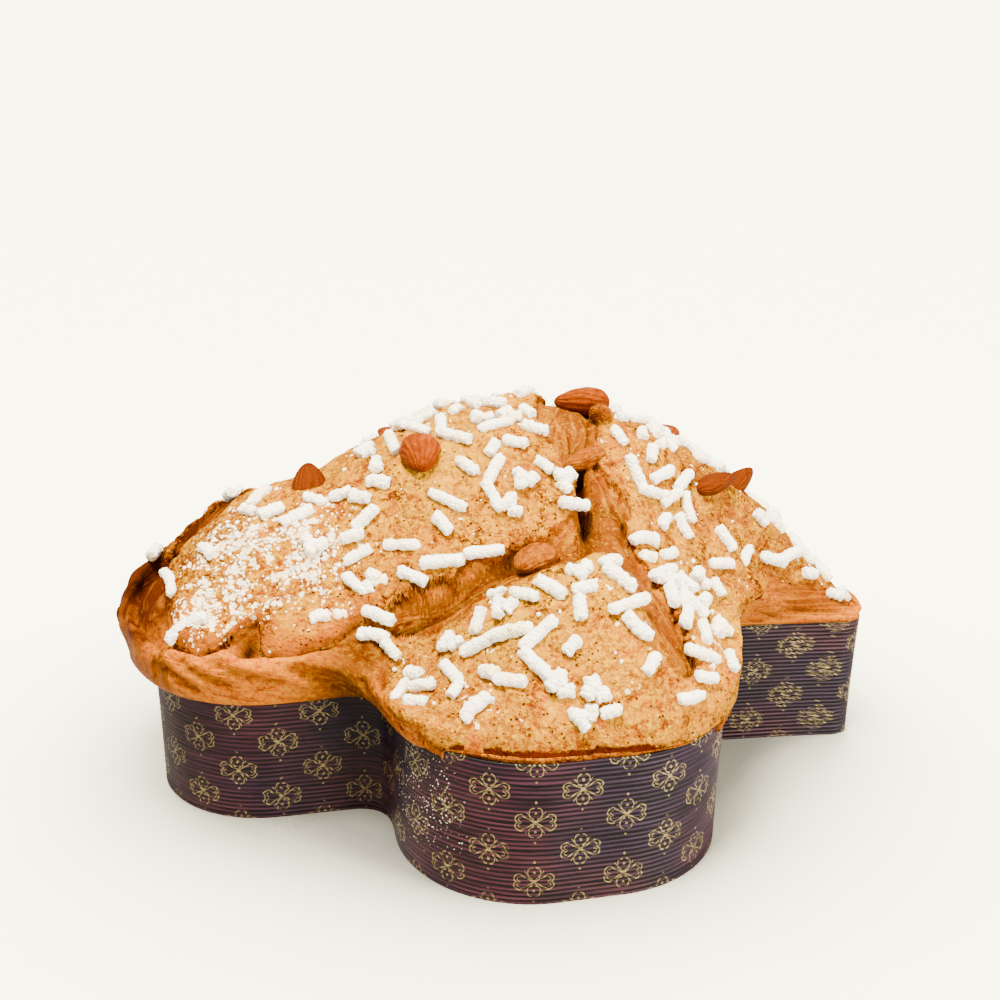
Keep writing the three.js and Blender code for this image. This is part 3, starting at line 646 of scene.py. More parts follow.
def glaze_material(granules):
    material, tree, shader = new_material("almond_glaze")
    at = tree.coordinates()
    margin, flap = tree.attribute("margin"), tree.attribute("flap")
    cream_tone_and_highlight, pale, light = (0.60, 0.32, 0.0), (0.46, 0.21, 0.0), (0.44, 0.175, 0.0)
    tan, orange, lip_brown = (0.27, 0.066, 0.0), (0.21, 0.036, 0.0), (0.26, 0.055, 0.0)
    brown, red_brown, dark = (0.085, 0.0105, 0.0), (0.10, 0.019, 0.001), (0.012, 0.0009, 0.0)
    powder = (0.85, 0.72, 0.50)
    broad = tree.noise(at, 24, 3, 0.6)
    patch = tree.noise(at, 7, 3, 0.7, 0.8)
    folds = tree.noise(at, 3.6, 4, 0.6, 1.2)
    fine = tree.minus(tree.noise(at, 1.5, 4, 0.78), 0.5)
    fine = tree.plus(0.5, tree.times(fine, tree.remap(tree.noise(at, 13, 3, 0.6), 0.4, 0.6, 0.35, 1.0)))
    colour = tree.layers(orange, (broad, 0.38, 0.6, 0, 1, tan), (patch, 0.42, 0.62, 0, 1, light))
    palest = tree.times(tree.attribute("pale"), tree.remap(patch, 0.36, 0.56, 0.3, 1.0))
    colour = tree.layers(tree.mix(palest, colour, pale), (patch, 0.44, 0.34, 0, 0.45, brown))
    toast = tree.times(tree.attribute("toasted"), tree.remap(patch, 0.3, 0.66, 1.0, 0.45))
    # cream laid on the fine grain is a painted highlight.
    colour = tree.layers(
        tree.mix(toast, colour, red_brown),
        (folds, 0.44, 0.34, 0, 0.65, brown), (folds, 0.53, 0.64, 0, 0.75, light),
        (fine, 0.51, 0.62, 0, 0.85, cream_tone_and_highlight), (fine, 0.45, 0.34, 0, 0.7, brown))
    colour = tree.mix(tree.times(flap, tree.remap(margin, 3, 11, 0.85, 0.0)), colour, lip_brown)
    torn = tree.times(tree.remap(margin, 0.2, 2.8, 0.9, 0.0), tree.minus(1.0, flap))
    colour = tree.mix(torn, colour, tree.layers(brown, (fine, 0.42, 0.56, 0, 1, tan)))
    pores = tree.times(tree.remap(tree.cells(at, 2.4), 0.14, 0.24, 1, 0),
                       tree.remap(tree.noise(at, 6, 3), 0.46, 0.54))
    colour = tree.mix(tree.times(pores, 0.9), colour, dark)
    crack = tree.cells(tree.bent(at, 5, 3.0, 0.72, 13), 17, "DISTANCE_TO_EDGE")
    crack = tree.times(tree.remap(crack, 0.01, 0.05, 0.9, 0),
                       tree.remap(tree.noise(at, 15, 3, 0.6), 0.5, 0.6))
    colour = tree.mix(crack, colour, tree.mix(fine, dark, brown))
    burnt = tree.plus(tree.attribute("burnt"), tree.remap(patch, 0.3, 0.7, -0.3, 0.3))
    colour = tree.layers(colour, (burnt, 0.3, 0.6, 0, 1, tree.mix(fine, dark, brown)))
    share = tree.plus(tree.times(tree.attribute("dust"), 0.9), tree.remap(broad, 0.56, 0.72, 0.0, 0.25))
    grains = tree.node("ShaderNodeGroup", node_tree=granules)
    tree.feed(grains.inputs[0], at)
    tree.feed(grains.inputs[1], tree.times(share, tree.remap(tree.noise(at, 9, 2, 0.6), 0.44, 0.56)))
    colour = tree.mix(grains.outputs[0], colour, powder)
    normal = tree.bump(tree.total((patch, 1.6), (fine, 0.9), (folds, 1.6), (pores, -0.6)), 2.0)
    finish_shader(tree, shader, Base_Color=colour, Roughness=0.8, Normal=normal, Specular_IOR_Level=0.01)
    return material


def dough_material():
    material, tree, shader = new_material("baked_dough")
    at = tree.coordinates()
    wet = tree.attribute("wet")
    flow = tree.node("ShaderNodeCombineXYZ", {
        0: tree.times(tree.attribute("flow_along"), 0.26 * MM),
        1: tree.times(tree.attribute("flow_side"), MM), 2: 0.0}).outputs[0]
    gold, amber, brown = (0.41, 0.108, 0.0), (0.27, 0.050, 0.0), (0.085, 0.0100, 0.0)
    crust, dark, cream_tone_and_highlight = (0.035, 0.0048, 0.0003), (0.010, 0.0005, 0.0), (0.42, 0.16, 0.0)
    wet_dark, wet_brown, wet_orange = (0.068, 0.0095, 0.0), (0.095, 0.0165, 0.0), (0.15, 0.038, 0.0)
    wet_gold_highlight, wet_cream_highlight = (0.25, 0.096, 0.0), (0.36, 0.17, 0.0)
    strand = tree.noise(flow, 4.2, 4, 0.6, 1.4)
    fibre = tree.noise(flow, 1.0, 3, 0.7, 0.3)
    broad = tree.noise(at, 14, 3, 0.6)
    crumb = tree.noise(at, 1.8, 4, 0.75)
    # cream is the crumb's own pale tone, and on the fibres a painted highlight.
    band = tree.layers(
        amber, (strand, 0.4, 0.6, 0, 1, gold), (strand, 0.44, 0.34, 0, 0.5, brown),
        (crumb, 0.52, 0.64, 0, 0.8, cream_tone_and_highlight), (crumb, 0.47, 0.36, 0, 0.7, brown),
        (fibre, 0.54, 0.66, 0, 0.4, cream_tone_and_highlight))
    # The ribbons' gold strands and cream specks are painted highlights, standing in for the tears' gloss.
    ribbon = tree.layers(
        wet_dark, (strand, 0.36, 0.56, 0, 1, wet_orange), (strand, 0.52, 0.68, 0, 1, wet_gold_highlight),
        (crumb, 0.53, 0.66, 0, 0.75, wet_cream_highlight), (broad, 0.48, 0.62, 0, 0.6, wet_brown))
    baked = tree.times(tree.attribute("baked"), tree.remap(strand, 0.3, 0.65, 1.0, 0.6))
    colour = tree.mix(baked, tree.mix(wet, band, ribbon), crust)
    # Painted shade: the dough darkens to near black in the deep tears, the flap's recess, the folds' creases
    # and the armpit.
    colour = tree.mix(tree.attribute("deep"), colour, dark)
    normal = tree.bump(tree.total((strand, 1.3), (fibre, 0.3), (crumb, 0.6)), 1.6, 0.9)
    finish_shader(tree, shader, Base_Color=colour, Roughness=tree.remap(wet, 0, 1, 0.55, 0.24), Normal=normal,
                  Specular_IOR_Level=0.05, Specular_Tint=(1.0, 0.5, 0.05))
    return material


def sugar_material():
    material, tree, shader = new_material("pearl_sugar")
    at = tree.coordinates()
    white, ivory = (0.90, 0.83, 0.70), (0.86, 0.70, 0.40)
    colour = tree.layers(white, (tree.noise(at, 9, 2), 0.56, 0.7, 0, 1, ivory))
    normal = tree.bump(tree.total((tree.noise(at, 1.0, 3, 0.75), 1.0), (tree.cells(at, 1.3), 0.8)), 1.0)
    finish_shader(tree, shader, Base_Color=colour, Roughness=0.8, Normal=normal, Specular_IOR_Level=0.2)
    return material


def almond_material():
    material, tree, shader = new_material("almond_skin")
    at = tree.coordinates()
    groove, coated = tree.attribute("groove"), tree.attribute("coated")
    reddish, brown, umber = (0.19, 0.032, 0.0), (0.10, 0.0135, 0.0), (0.05, 0.0055, 0.0)
    coat_dark, coat_light, shaded = (0.10, 0.018, 0.0), (0.22, 0.062, 0.0), (0.05, 0.008, 0.0005)
    skin = tree.noise(at, 3.5, 4, 0.7, 0.6)
    coat = tree.noise(at, 2.4, 4, 0.7, 0.5)
    glazed = tree.layers(coat_dark, (coat, 0.4, 0.6, 0, 1, coat_light))
    colour = tree.layers(
        reddish, (skin, 0.35, 0.65, 0, 1, brown), (groove, 0.5, 1.0, 0, 0.6, umber),
        (coated, 0, 1, 0, 0.9, glazed), (coated, 0, -1, 0, 0.75, shaded))
    relief = tree.total((tree.noise(at, 0.8, 3, 0.6), 1.0), (coat, 1.5), (groove, -1.0))
    finish_shader(tree, shader, Base_Color=colour, Roughness=0.4, Normal=tree.bump(relief, 0.5, 0.9),
                  Specular_IOR_Level=0.05, Specular_Tint=(1.0, 0.4, 0.1))
    return material


def ornament_group():
    """Outlined four-petal ornament round the origin of a vector in millimetres, as a mask."""
    group = bpy.data.node_groups.new("four_petal_ornament", "ShaderNodeTree")
    group.interface.new_socket("Place", in_out="INPUT", socket_type="NodeSocketVector")
    group.interface.new_socket("Mask", in_out="OUTPUT", socket_type="NodeSocketFloat")
    tree = Tree(group)
    split = tree.node("ShaderNodeSeparateXYZ", {0: tree.node("NodeGroupInput").outputs[0]})
    x, y = (tree.math("ABSOLUTE", split.outputs[k]) for k in (0, 1))

    def oval(middle_x, middle_y, half_x, half_y):
        """Distance from an oval's middle, as a share of its size."""
        dx = tree.math("DIVIDE", tree.minus(x, middle_x), half_x)
        dy = tree.math("DIVIDE", tree.minus(y, middle_y), half_y)
        return tree.math("SQRT", tree.plus(tree.math("POWER", dx, 2), tree.math("POWER", dy, 2)))

    def line(value, at, width):
        return tree.remap(tree.math("ABSOLUTE", tree.minus(value, at)), width * 0.6, width, 1, 0)

    # Petals: an oval's middle and half sizes, the line's width, and where along x the line starts.
    forms = [tree.times(line(oval(*form), 1.0, width), tree.remap(x, start, start + 0.2))
             for form, width, start in (((5.2, 1.5, 2.2, 1.8), 0.13, 4.6), ((5.0, 1.2, 1.2, 0.9), 0.16, 4.9),
                                        ((0.9, 3.9, 1.5, 2.2), 0.14, 0.5))]
    reach = oval(0, 0, 1, 1)
    for slope, length in ((0.6, 5.5), (1.3, 5.7)):
        stem = line(tree.minus(y, tree.times(x, slope)), 0, 0.3)
        forms.append(tree.times(stem, tree.remap(reach, length, length + 0.2, 1, 0)))
    for dot, full, end in ((oval(0, 3.9, 0.55, 0.65), 0.8, 1.1), (oval(0, 8.4, 0.42, 0.42), 0.8, 1.2),
                           (reach, 0.7, 0.9)):
        forms.append(tree.remap(dot, full, end, 1, 0))
    tree.feed(tree.node("NodeGroupOutput").inputs[0], tree.most(*forms))
    return group


def case_material(perimeter):
    material, tree, shader = new_material("case_paper")
    at = tree.coordinates()
    gold, sugar = (0.19, 0.145, 0.055), (0.5, 0.44, 0.36)
    plum, violet = (0.056, 0.0155, 0.024), (0.020, 0.0085, 0.023)
    painted_furrow_shade, painted_corner_shade = (0.0018, 0.0005, 0.0012), (0.001, 0.0005, 0.0008)
    spot = tree.node("ShaderNodeSeparateXYZ", {0: tree.coordinates("UV")})
    u, v = (tree.times(spot.outputs[k], 1 / MM) for k in (0, 1))
    across = perimeter / round(perimeter / ORNAMENT_WIDTH)
    ornament, prints = ornament_group(), []
    for shift in (0.0, 0.5):
        local = {}
        for k, (value, start, size) in enumerate(((u, 0.0, across), (v, ORNAMENT_START, ORNAMENT_HEIGHT))):
            repeated = tree.math("FLOORED_MODULO", tree.plus(value, start + shift * size), size)
            local[k] = tree.minus(repeated, size / 2)
        group = tree.node("ShaderNodeGroup", node_tree=ornament)
        tree.feed(group.inputs[0], tree.node("ShaderNodeCombineXYZ", local).outputs[0])
        prints.append(group.outputs[0])
    printed = tree.most(*prints)
    along = tree.node("ShaderNodeCombineXYZ", {0: tree.times(u, 0.03 * MM), 1: tree.times(v, MM), 2: 0.0})
    streak = tree.noise(along.outputs[0], 0.9, 3, 0.6)
    # Painted light on the ribs: the crests show the paper's plum and violet as lit, and the furrows between
    # them are painted near black as shade.
    rib = tree.plus(tree.math("SINE", tree.times(v, 2 * math.pi / RIB_PITCH)), tree.times(streak, 6))
    crest_highlight = tree.layers(plum, (tree.noise(at, 55, 2, 0.5), 0.42, 0.6, 0, 1, violet))
    colour = tree.layers(painted_furrow_shade, (rib, 2.6, 4.6, 0, 1, crest_highlight))
    worn = tree.remap(tree.noise(at, 2.2, 3, 0.7), 0.3, 0.5)
    colour = tree.mix(tree.times(printed, worn), colour, gold)
    dust_place = tuple(c * MM for c in DUST_PLACE)
    dusty = tree.node("ShaderNodeVectorMath", {0: at, 1: dust_place}, operation="DISTANCE")
    dusty = tree.most(tree.remap(dusty.outputs["Value"], 12 * MM, 42 * MM, 0.75, 0.0),
                      tree.remap(v, RIM_HEIGHT - 5, RIM_HEIGHT, 0.0, 0.35))
    dusty = tree.remap(tree.plus(tree.noise(at, 3.5, 2, 0.6), dusty), 1.0, 1.08)
    specks = tree.times(tree.remap(tree.cells(at, 1.5), 0.16, 0.26, 1, 0), dusty)
    # Painted shade: the paper's colour darkens to near black where ambient occlusion finds the case hemmed
    # in, as in the armpits.
    occlusion_for_painted_shade = tree.node("ShaderNodeAmbientOcclusion", {"Distance": 0.07}, samples=2).outputs["AO"]
    colour = tree.layers(painted_corner_shade, (occlusion_for_painted_shade, 0.25, 0.6, 0.06, 1.0, tree.mix(specks, colour, sugar)))
    finish_shader(tree, shader, Base_Color=colour, Roughness=tree.remap(printed, 0, 1, 0.48, 0.36),
                  Normal=tree.bump(tree.plus(streak, specks), 0.25, 0.6), Specular_IOR_Level=0.1,
                  Metallic=tree.times(printed, 0.2))
    return material


# ---- Settings ---------------------------------------------------------------------------------------

def length_setting(name, default, description):
    return FloatProperty(name=name, description=description, default=default, unit="LENGTH")


class ColombaCrustSettings(bpy.types.PropertyGroup):
    """Crust, glaze and case."""
    case_height: length_setting("Case height", 0.058, "Height of the paper wall")
    case_wall: length_setting("Case wall", 0.0014, "Thickness of the ribbed wall")
    rib_count: IntProperty(name="Ribs", description="Number of horizontal ribs on the case", default=30)
    rib_depth: length_setting("Rib depth", 0.0005, "Depth of each rib")
    cells: IntProperty(name="Cells", description="Cells along each side of the crust's grid", default=280)
    edge_round: length_setting("Edge rounding", 0.0016, "Radius of the glaze's torn edges")


class ColombaSugarSettings(bpy.types.PropertyGroup):
    """Sugar nibs and crumbs."""
    seed: IntProperty(name="Seed", description="Seed of the scatter", default=20)
    tries: IntProperty(name="Tries", description="Places tried for a nib", default=4200)
    spacing: length_setting("Spacing", 0.0086, "Least distance between nibs")
    shortest: length_setting("Shortest", 0.007, "Length of the shortest nibs")
    longest: length_setting("Longest", 0.018, "Length of the longest nibs")
    radius: length_setting("Radius", 0.0025, "Radius of a nib")
    crumb_tries: IntProperty(name="Crumb tries", description="Places tried for a crumb", default=16000)


class ColombaStageSettings(bpy.types.PropertyGroup):
    """Floor, lights and camera."""
    camera_place: FloatVectorProperty(name="Camera place", description="Where the camera stands",
                                      default=(-0.117556, -0.491008, 0.272146), unit="LENGTH")
    camera_forward: FloatVectorProperty(name="Camera direction", description="Where the camera looks",
                                        default=(0.21074563, 0.93018107, -0.30058187), subtype="DIRECTION")
    camera_right: FloatVectorProperty(name="Camera right", description="The image's rightward direction",
                                      default=(0.97613859, -0.2167122, 0.01375783), subtype="DIRECTION")
    lens: FloatProperty(name="Lens", description="Focal length on a 36 mm sensor", default=42.572)
    key_power: FloatProperty(name="Key power", description="Power of the key light", default=210.0,
                             unit="POWER")
    room_light: FloatProperty(name="Room light", description="Strength of the light all round", default=1.1)
    floor_glow: FloatProperty(name="Floor glow", description="Light from the floor to the camera",
                              default=9.2)


# ---- Operators --------------------------------------------------------------------------------------

def toasted(x, y):
    """How brown the crust has baked: most at the head's tip, the right flank and the tail."""
    tip = 1.0 * ease(-x, 100, 155) * ease(y, -60, -15)
    flank = 0.55 * ease(x, 35, 75) * ease(y, -100, -10)
    tail = 0.75 * ease(x, 80, 130)
    return np.maximum(np.maximum(tip, flank), tail)


def patches(places, x, y):
    """How near a point is to the middle of any of the round patches, from 0 to 1 or a little more."""
    return sum(bell(np.hypot(x - px, y - py), reach) for px, py, reach in places)


def glaze_relief(points, level):
    """Unevenness of the glaze, finer where it lies level."""
    return 0.9 * wobble(points, 9, 1) + (0.7 * wobble(points, 4.2, 2) + 0.4 * wobble(points, 2.2, 3)) * level


class COLOMBA_OT_dough(bpy.types.Operator):
    """Builds the baked dough below the glaze and in its tears"""
    bl_idname = "colomba.dough"
    bl_label = "Dough"

    def execute(self, context):
        crust = context.scene.colomba_crust
        height = crust.case_height / MM
        bm = bmesh.new()
        x, y, dome, angle, inset = crust_sheet(bm, crust.cells, height)
        margin = glaze_margin(x, y, angle, inset)
        step = flap_step(angle, np.maximum(inset, 0)) * ease(inset, 0, 4)
        torn = tear_margin(x, y)
        in_tear = ease(-torn, -2, 2)
        sunk = torn_depth(x, y) + 1.2 * ease(margin, -1, 1) + 2.6 * bell(torn + 1.2, 2.2)
        flap, here = flap_edge(angle)
        groove = here * bell(inset - flap, 1.8)
        # The grain of the dough runs round the cake, and along each tear within it.
        along = angle * MEAN_RADIUS
        side = dome + 0.3 * along
        for line in TEARS:
            distance, width, run, offset = along_line(line, x, y)
            inside = distance - width < 1
            along, side = np.where(inside, run, along), np.where(inside, offset + sunk, side)
        bare = ease(-margin, 0, 3)
        ribbons = np.column_stack((0.1 * along, side, 0 * side))
        strands = 2.4 * wobble(ribbons, 6.5, 4) + 1.0 * wobble(2.2 * ribbons, 6, 5)
        slanted = np.column_stack((0.25 * along - 0.5 * side, side + 0.35 * along, 0 * side))
        folds = 2.8 * wobble(slanted, 10, 6) + 1.4 * wobble(slanted, 4, 5) + 1.5 * bell(inset + 1, 6)
        creased = fold_distance(angle, inset)
        relief = strands * in_tear + (folds - 2.6 * bell(creased, 1.7)) * (1 - in_tear)
        sinking = (sunk + 0.4 * step + groove) * ease(inset, 0, 6)
        place(bm.verts, np.column_stack((x, y, height + dome - sinking)))
        torn_open = [v for v, m in zip(bm.verts, torn) if m < 3]
        for _ in range(3):
            bmesh.ops.smooth_vert(bm, verts=torn_open, factor=0.5, use_axis_x=True, use_axis_y=True,
                                  use_axis_z=True)
        bm.normal_update()
        normals = np.array([v.normal[:] for v in bm.verts])
        place(bm.verts, positions(bm) + normals * (relief * bare * ease(inset, -16, -8))[:, None])
        curl = bell(along_line(CURL[1], x, y)[0], 5) * ease(inset, -4, 1)
        armpit = patches(ARMPIT, x, y)
        # Painted shade in the deepest parts of the tears and in the flap's recess.
        crevice_shade = np.maximum(ease(sunk - strands, 7, 19), recess(x, y)) * ease(inset, 0, 4)
        rim = ease(-dome, -4, 0) * ease(-rim_at(angle)[0], -2, 2)
        basin = 0.4 * in_tear * ease(-x, 120, 150)
        crust_brown = 1.25 * toasted(x, y) * ease(dome, 1, 9)
        piece = new_piece(bm, "crust_dough", dough_material(), ("colomba_cake",))
        point_values(piece, "flow_along", along)
        point_values(piece, "flow_side", side)
        # deep holds the painted shade in the tears, the recess, the armpit and the folds' creases.
        point_values(piece, "deep", np.maximum.reduce((crevice_shade, 0.45 * armpit, 0.55 * bell(creased, 1.3))))
        point_values(piece, "wet", np.maximum(in_tear * ease(x, -150, -120), armpit))
        point_values(piece, "baked", np.maximum.reduce((crust_brown, 1.2 * curl, 1.1 * rim, basin)))
        return {"FINISHED"}


class COLOMBA_OT_glaze(bpy.types.Operator):
    """Builds the almond glaze, with ragged edges where it has torn"""
    bl_idname = "colomba.glaze"
    bl_label = "Glaze"

    def execute(self, context):
        crust = context.scene.colomba_crust
        height = crust.case_height / MM
        bm = bmesh.new()
        x, y, dome, angle, inset = crust_sheet(bm, crust.cells, height)
        smooth = np.column_stack((x, y, dome))
        _, here = flap_edge(angle)
        margin = glaze_margin(x, y, angle, inset)
        bm.normal_update()
        outward = np.array([v.normal[:] for v in bm.verts])
        level = ease(np.abs(outward[:, 2]), 0.3, 0.75)
        fringe = 2.8 * wobble(smooth, 3.6, 7) + 1.3 * wobble(smooth, 1.7, 8)
        ragged = 3.4 * wobble(smooth, 9, 6) + fringe * level
        margin = margin + ragged * (1 - 0.9 * here) - 9 * recess(x, y)
        relief = glaze_relief(smooth, level)
        lip = crust.edge_round / MM + 3.2 * here
        from_edge = np.clip(1 - margin / lip / 1.4, 0, 1)
        rounding = lip * (1 - np.sqrt(1 - from_edge**2))
        rolled = 3.4 * here * bell(np.maximum(margin - 4, 0), 6)
        lift = relief * ease(margin, -2, 3) - rounding + 0.5 * ease(-inset, -4, 2) + rolled
        place(bm.verts, positions(bm) + outward * lift[:, None])
        bmesh.ops.delete(bm, geom=[v for v, m in zip(bm.verts, margin) if m < 0], context="VERTS")
        left = margin >= 0
        burnt = ease(-dome, -6, -1) * ease(-rim_at(angle)[0], -2, 2)
        values = {"margin": margin, "toasted": toasted(x, y), "dust": patches(DUST_PATCHES, x, y),
                  "flap": here, "burnt": burnt, "pale": patches(PALE_PATCHES, x, y)}
        values = {name: value[left] for name, value in values.items()}
        edges = [e for e in bm.edges if e.is_boundary]
        for share in (0.4, 1.0):
            verts, edges = extrude(bm, edges)
            bmesh.ops.translate(bm, verts=verts, vec=(0, 0, -2.4 * share))
            edge_x, edge_y = np.array([v.co.x for v in verts]), np.array([v.co.y for v in verts])
            at_edge = {"toasted": toasted(edge_x, edge_y), "flap": flap_edge(np.arctan2(edge_y, edge_x))[1]}
            for name, value in values.items():
                values[name] = np.append(value, at_edge.get(name, np.zeros(len(verts))))
        material = glaze_material(granules_group())
        piece = new_piece(bm, "almond_glaze", material, ("colomba_cake",))
        for name, value in values.items():
            point_values(piece, name, value)
        return {"FINISHED"}


def sugar_share(x, y):
    share = np.full(x.shape, SUGAR_SHARE)
    for px, py, reach, there in SUGAR_PATCHES:
        share = share + (there - share) * bell(np.hypot(x - px, y - py), reach)
    return share


def scatter(seed, tries, numbers):
    """Places over the plan, as x and y, with some further numbers from 0 to 1 for each."""
    draw = draws(seed)
    tried = np.array([[next(draw) for _ in range(2 + numbers)] for _ in range(tries)])
    x = -HEAD_REACH + (TAIL_REACH + HEAD_REACH) * tried[:, 0]
    y = -WING_REACH + 2 * WING_REACH * tried[:, 1]
    return x, y, *tried[:, 2:].T


def nib_places(crust, sugar):
    """Yields the nibs' seats, outward directions, directions along them and lengths, longest first."""
    height = crust.case_height / MM
    x, y, lot, turn, length = scatter(sugar.seed, sugar.tries, 3)
    turn = math.pi * turn
    length = (sugar.shortest + (sugar.longest - sugar.shortest) * length ** 1.8) / MM
    inset = rim_at(np.arctan2(y, x))[0] - crust_distance(x, y)
    fits = (inset >= 3) & (lot <= sugar_share(x, y)) & (tear_margin(x, y) >= 2)
    laid = np.array(HEAD_NIBS, float)
    x, y = np.append(laid[:, 0], x), np.append(laid[:, 1], y)
    turn, length = np.append(np.radians(laid[:, 2]), turn), np.append(laid[:, 3], length)
    seats = np.column_stack((x, y, crust_height(x, y, height)))
    fits = np.append(np.zeros(len(laid), bool), fits)
    kept = list(range(len(laid)))
    for i in np.flatnonzero(fits):
        crowded = kept and np.linalg.norm(seats[kept] - seats[i], axis=1).min() < sugar.spacing / MM
        on_almond = any(math.hypot(x[i] - a[0], y[i] - a[1]) < 0.7 * a[5] for a in ALMONDS)
        if not crowded and not on_almond:
            kept.append(i)
    kept = sorted(kept, key=lambda k: -length[k])
    step = 1.5
    dx = (crust_height(x + step, y, height) - crust_height(x - step, y, height)) / (2 * step)
    dy = (crust_height(x, y + step, height) - crust_height(x, y - step, height)) / (2 * step)
    for i in kept:
        up = Vector((-dx[i], -dy[i], 1)).normalized()
        heading = Vector((math.cos(turn[i]), math.sin(turn[i]), 0))
        along = (heading - heading.dot(up) * up).normalized()
        yield Vector(seats[i]), up, along, length[i]


def rod(bm, centre, up, along, length, radius, bend, number):
    """Adds one rough rod with broken ends."""
    bmesh.ops.create_uvsphere(bm, u_segments=13, v_segments=19, radius=1)
    across = along.cross(up)
    shift = Vector((number * 3.7, number * 1.3, number))
    for vert in bm.verts:
        t = vert.co.z
        shell = max(1 - abs(t) ** 20, 0.0) ** 0.35
        ring = Vector((vert.co.x, vert.co.y))
        ring = ring.normalized() * shell if ring.length > 1e-4 else Vector((0, 0))
        on_rod = Vector((ring.x, ring.y, t * length / 2 / radius)) * radius
        knob = (1 + 0.20 * noise.noise(on_rod / 2.6 + shift) + 0.30 * noise.noise(on_rod / 1.2 + shift)
                + 0.12 * noise.noise(Vector((0, number, t * length / 1.6))))
        end = 0.9 * radius * noise.noise(on_rod / 2.0 + shift) * abs(t) ** 8
        vert.co = (centre + along * (t * length / 2 + math.copysign(end, t)) + up * ring.y * radius * knob
                   + across * (ring.x * radius * knob + bend * (t * t - 0.3)))


class COLOMBA_OT_sugar(bpy.types.Operator):
    """Scatters the pearl sugar nibs over the glaze"""
    bl_idname = "colomba.sugar"
    bl_label = "Pearl sugar"

    def execute(self, context):
        crust, sugar = context.scene.colomba_crust, context.scene.colomba_sugar
        radius = sugar.radius / MM
        all_nibs = bmesh.new()
        for number, (seat, up, along, length) in enumerate(nib_places(crust, sugar)):
            kind = (number * 0.618) % 1
            thick = radius * (0.9 + 0.2 * ((number * 0.37) % 1))
            centre = seat + up * 0.35 * thick
            pieces = [(centre, along, length, 0.0)]
            if kind < 0.12:
                pieces = [(centre, along, length, 0.1 * length)]
            elif kind < 0.34 and length < 12:
                across = along.cross(up)
                slanting = (along + across).normalized()
                pieces = [(centre + along * 2.4, along, 5.5, 0),
                          (centre - along * 2.2 + across * 1.4, across, 5, 0),
                          (centre - across * 2.6 + along * 0.6 + up * 0.8, slanting, 5, 0)]
            for k, (middle, direction, long, bend) in enumerate(pieces):
                bm = bmesh.new()
                rod(bm, middle, up, direction, long, thick, bend, number + 0.3 * k)
                join(all_nibs, bm)
        new_piece(all_nibs, "pearl_sugar", sugar_material(), ("colomba_cake",))
        return {"FINISHED"}


class COLOMBA_OT_crumbs(bpy.types.Operator):
    """Scatters sugar crumbs, thickly where the head is dusted and thinly elsewhere"""
    bl_idname = "colomba.crumbs"
    bl_label = "Sugar crumbs"

    def execute(self, context):
        crust, sugar = context.scene.colomba_crust, context.scene.colomba_sugar
        x, y, lot, size = scatter(sugar.seed + 1, sugar.crumb_tries, 2)
        angle = np.arctan2(y, x)
        inset = rim_at(angle)[0] - crust_distance(x, y)
        on_glaze = (inset >= 6) & (glaze_margin(x, y, angle, inset) - 20 * recess(x, y) >= 4)
        share = 0.03 + 0.8 * patches(DUST_PATCHES, x, y) ** 2
        fits = on_glaze & (lot <= share)
        x, y, size = x[fits], y[fits], 0.35 + 0.75 * size[fits] ** 3
        smooth = np.column_stack((x, y, dome_surface(x, y)[0]))
        z = crust_height(x, y, crust.case_height / MM) + glaze_relief(smooth, 1.0)
        all_crumbs = bmesh.new()
        for number, centre in enumerate(zip(x, y, z)):
            bm = bmesh.new()
            bmesh.ops.create_icosphere(bm, subdivisions=2, radius=1)
            shift = Vector((number * 1.7, number * 2.3, number))
            for vert in bm.verts:
                lump = 1 + 0.45 * noise.noise(vert.co * 1.4 + shift)
                vert.co = Vector(centre) + vert.co * size[number] * lump
            join(all_crumbs, bm)
        material = bpy.data.materials.get("pearl_sugar") or sugar_material()
        new_piece(all_crumbs, "sugar_crumbs", material)
        return {"FINISHED"}


class COLOMBA_OT_almonds(bpy.types.Operator):
    """Builds the whole almonds in their places on the crust"""
    bl_idname = "colomba.almonds"
    bl_label = "Almonds"

    def execute(self, context):
        crust = context.scene.colomba_crust
        material = almond_material()
        for number, almond in enumerate(ALMONDS, 1):
            x, y, heading, tilt, roll, length, width, thick, sunk = almond
            bm = bmesh.new()
            bmesh.ops.create_uvsphere(bm, u_segments=56, v_segments=36, radius=1)
            groove = []
            for vert in bm.verts:
                p = vert.co.copy()
                turn = math.atan2(p.y, p.x)
                ridge = 0.5 + 0.5 * math.sin(turn * 15 + 7 * noise.noise(Vector((p.z * 1.5, turn, number))))
                dent = 0.06 * noise.noise(p * 2.2 + Vector((number, 0, 0)))
                lobe = math.hypot(p.x, p.y) * (1 - 0.28 * p.z) / 1.03 * (1 - 0.018 * ridge + dent)
                vert.co = Vector((p.z * length / 2, math.cos(turn) * lobe * width / 2,
                                  math.sin(turn) * lobe * thick / 2))
                groove.append(ridge)
            turn = (Matrix.Rotation(math.radians(heading), 4, "Z")
                    @ Matrix.Rotation(-math.radians(tilt), 4, "Y")
                    @ Matrix.Rotation(math.radians(roll), 4, "X"))
            rise = abs(math.sin(math.radians(tilt))) * (length - thick)
            ground = crust_height(np.array([x]), np.array([y]), crust.case_height / MM)[0]
            seat = Matrix.Translation((x, y, ground + (0.5 - sunk) * (thick + rise)))
            bmesh.ops.transform(bm, matrix=seat @ turn, verts=bm.verts)
            piece = new_piece(bm, f"almond_skin_{number}", material, (f"almond_{number}",))
            point_values(piece, "groove", groove)
            coated = 1.0 if number in COATED_ALMONDS else -1.0 if number in DARK_ALMONDS else 0.0
            point_values(piece, "coated", np.full(len(groove), coated))
        return {"FINISHED"}


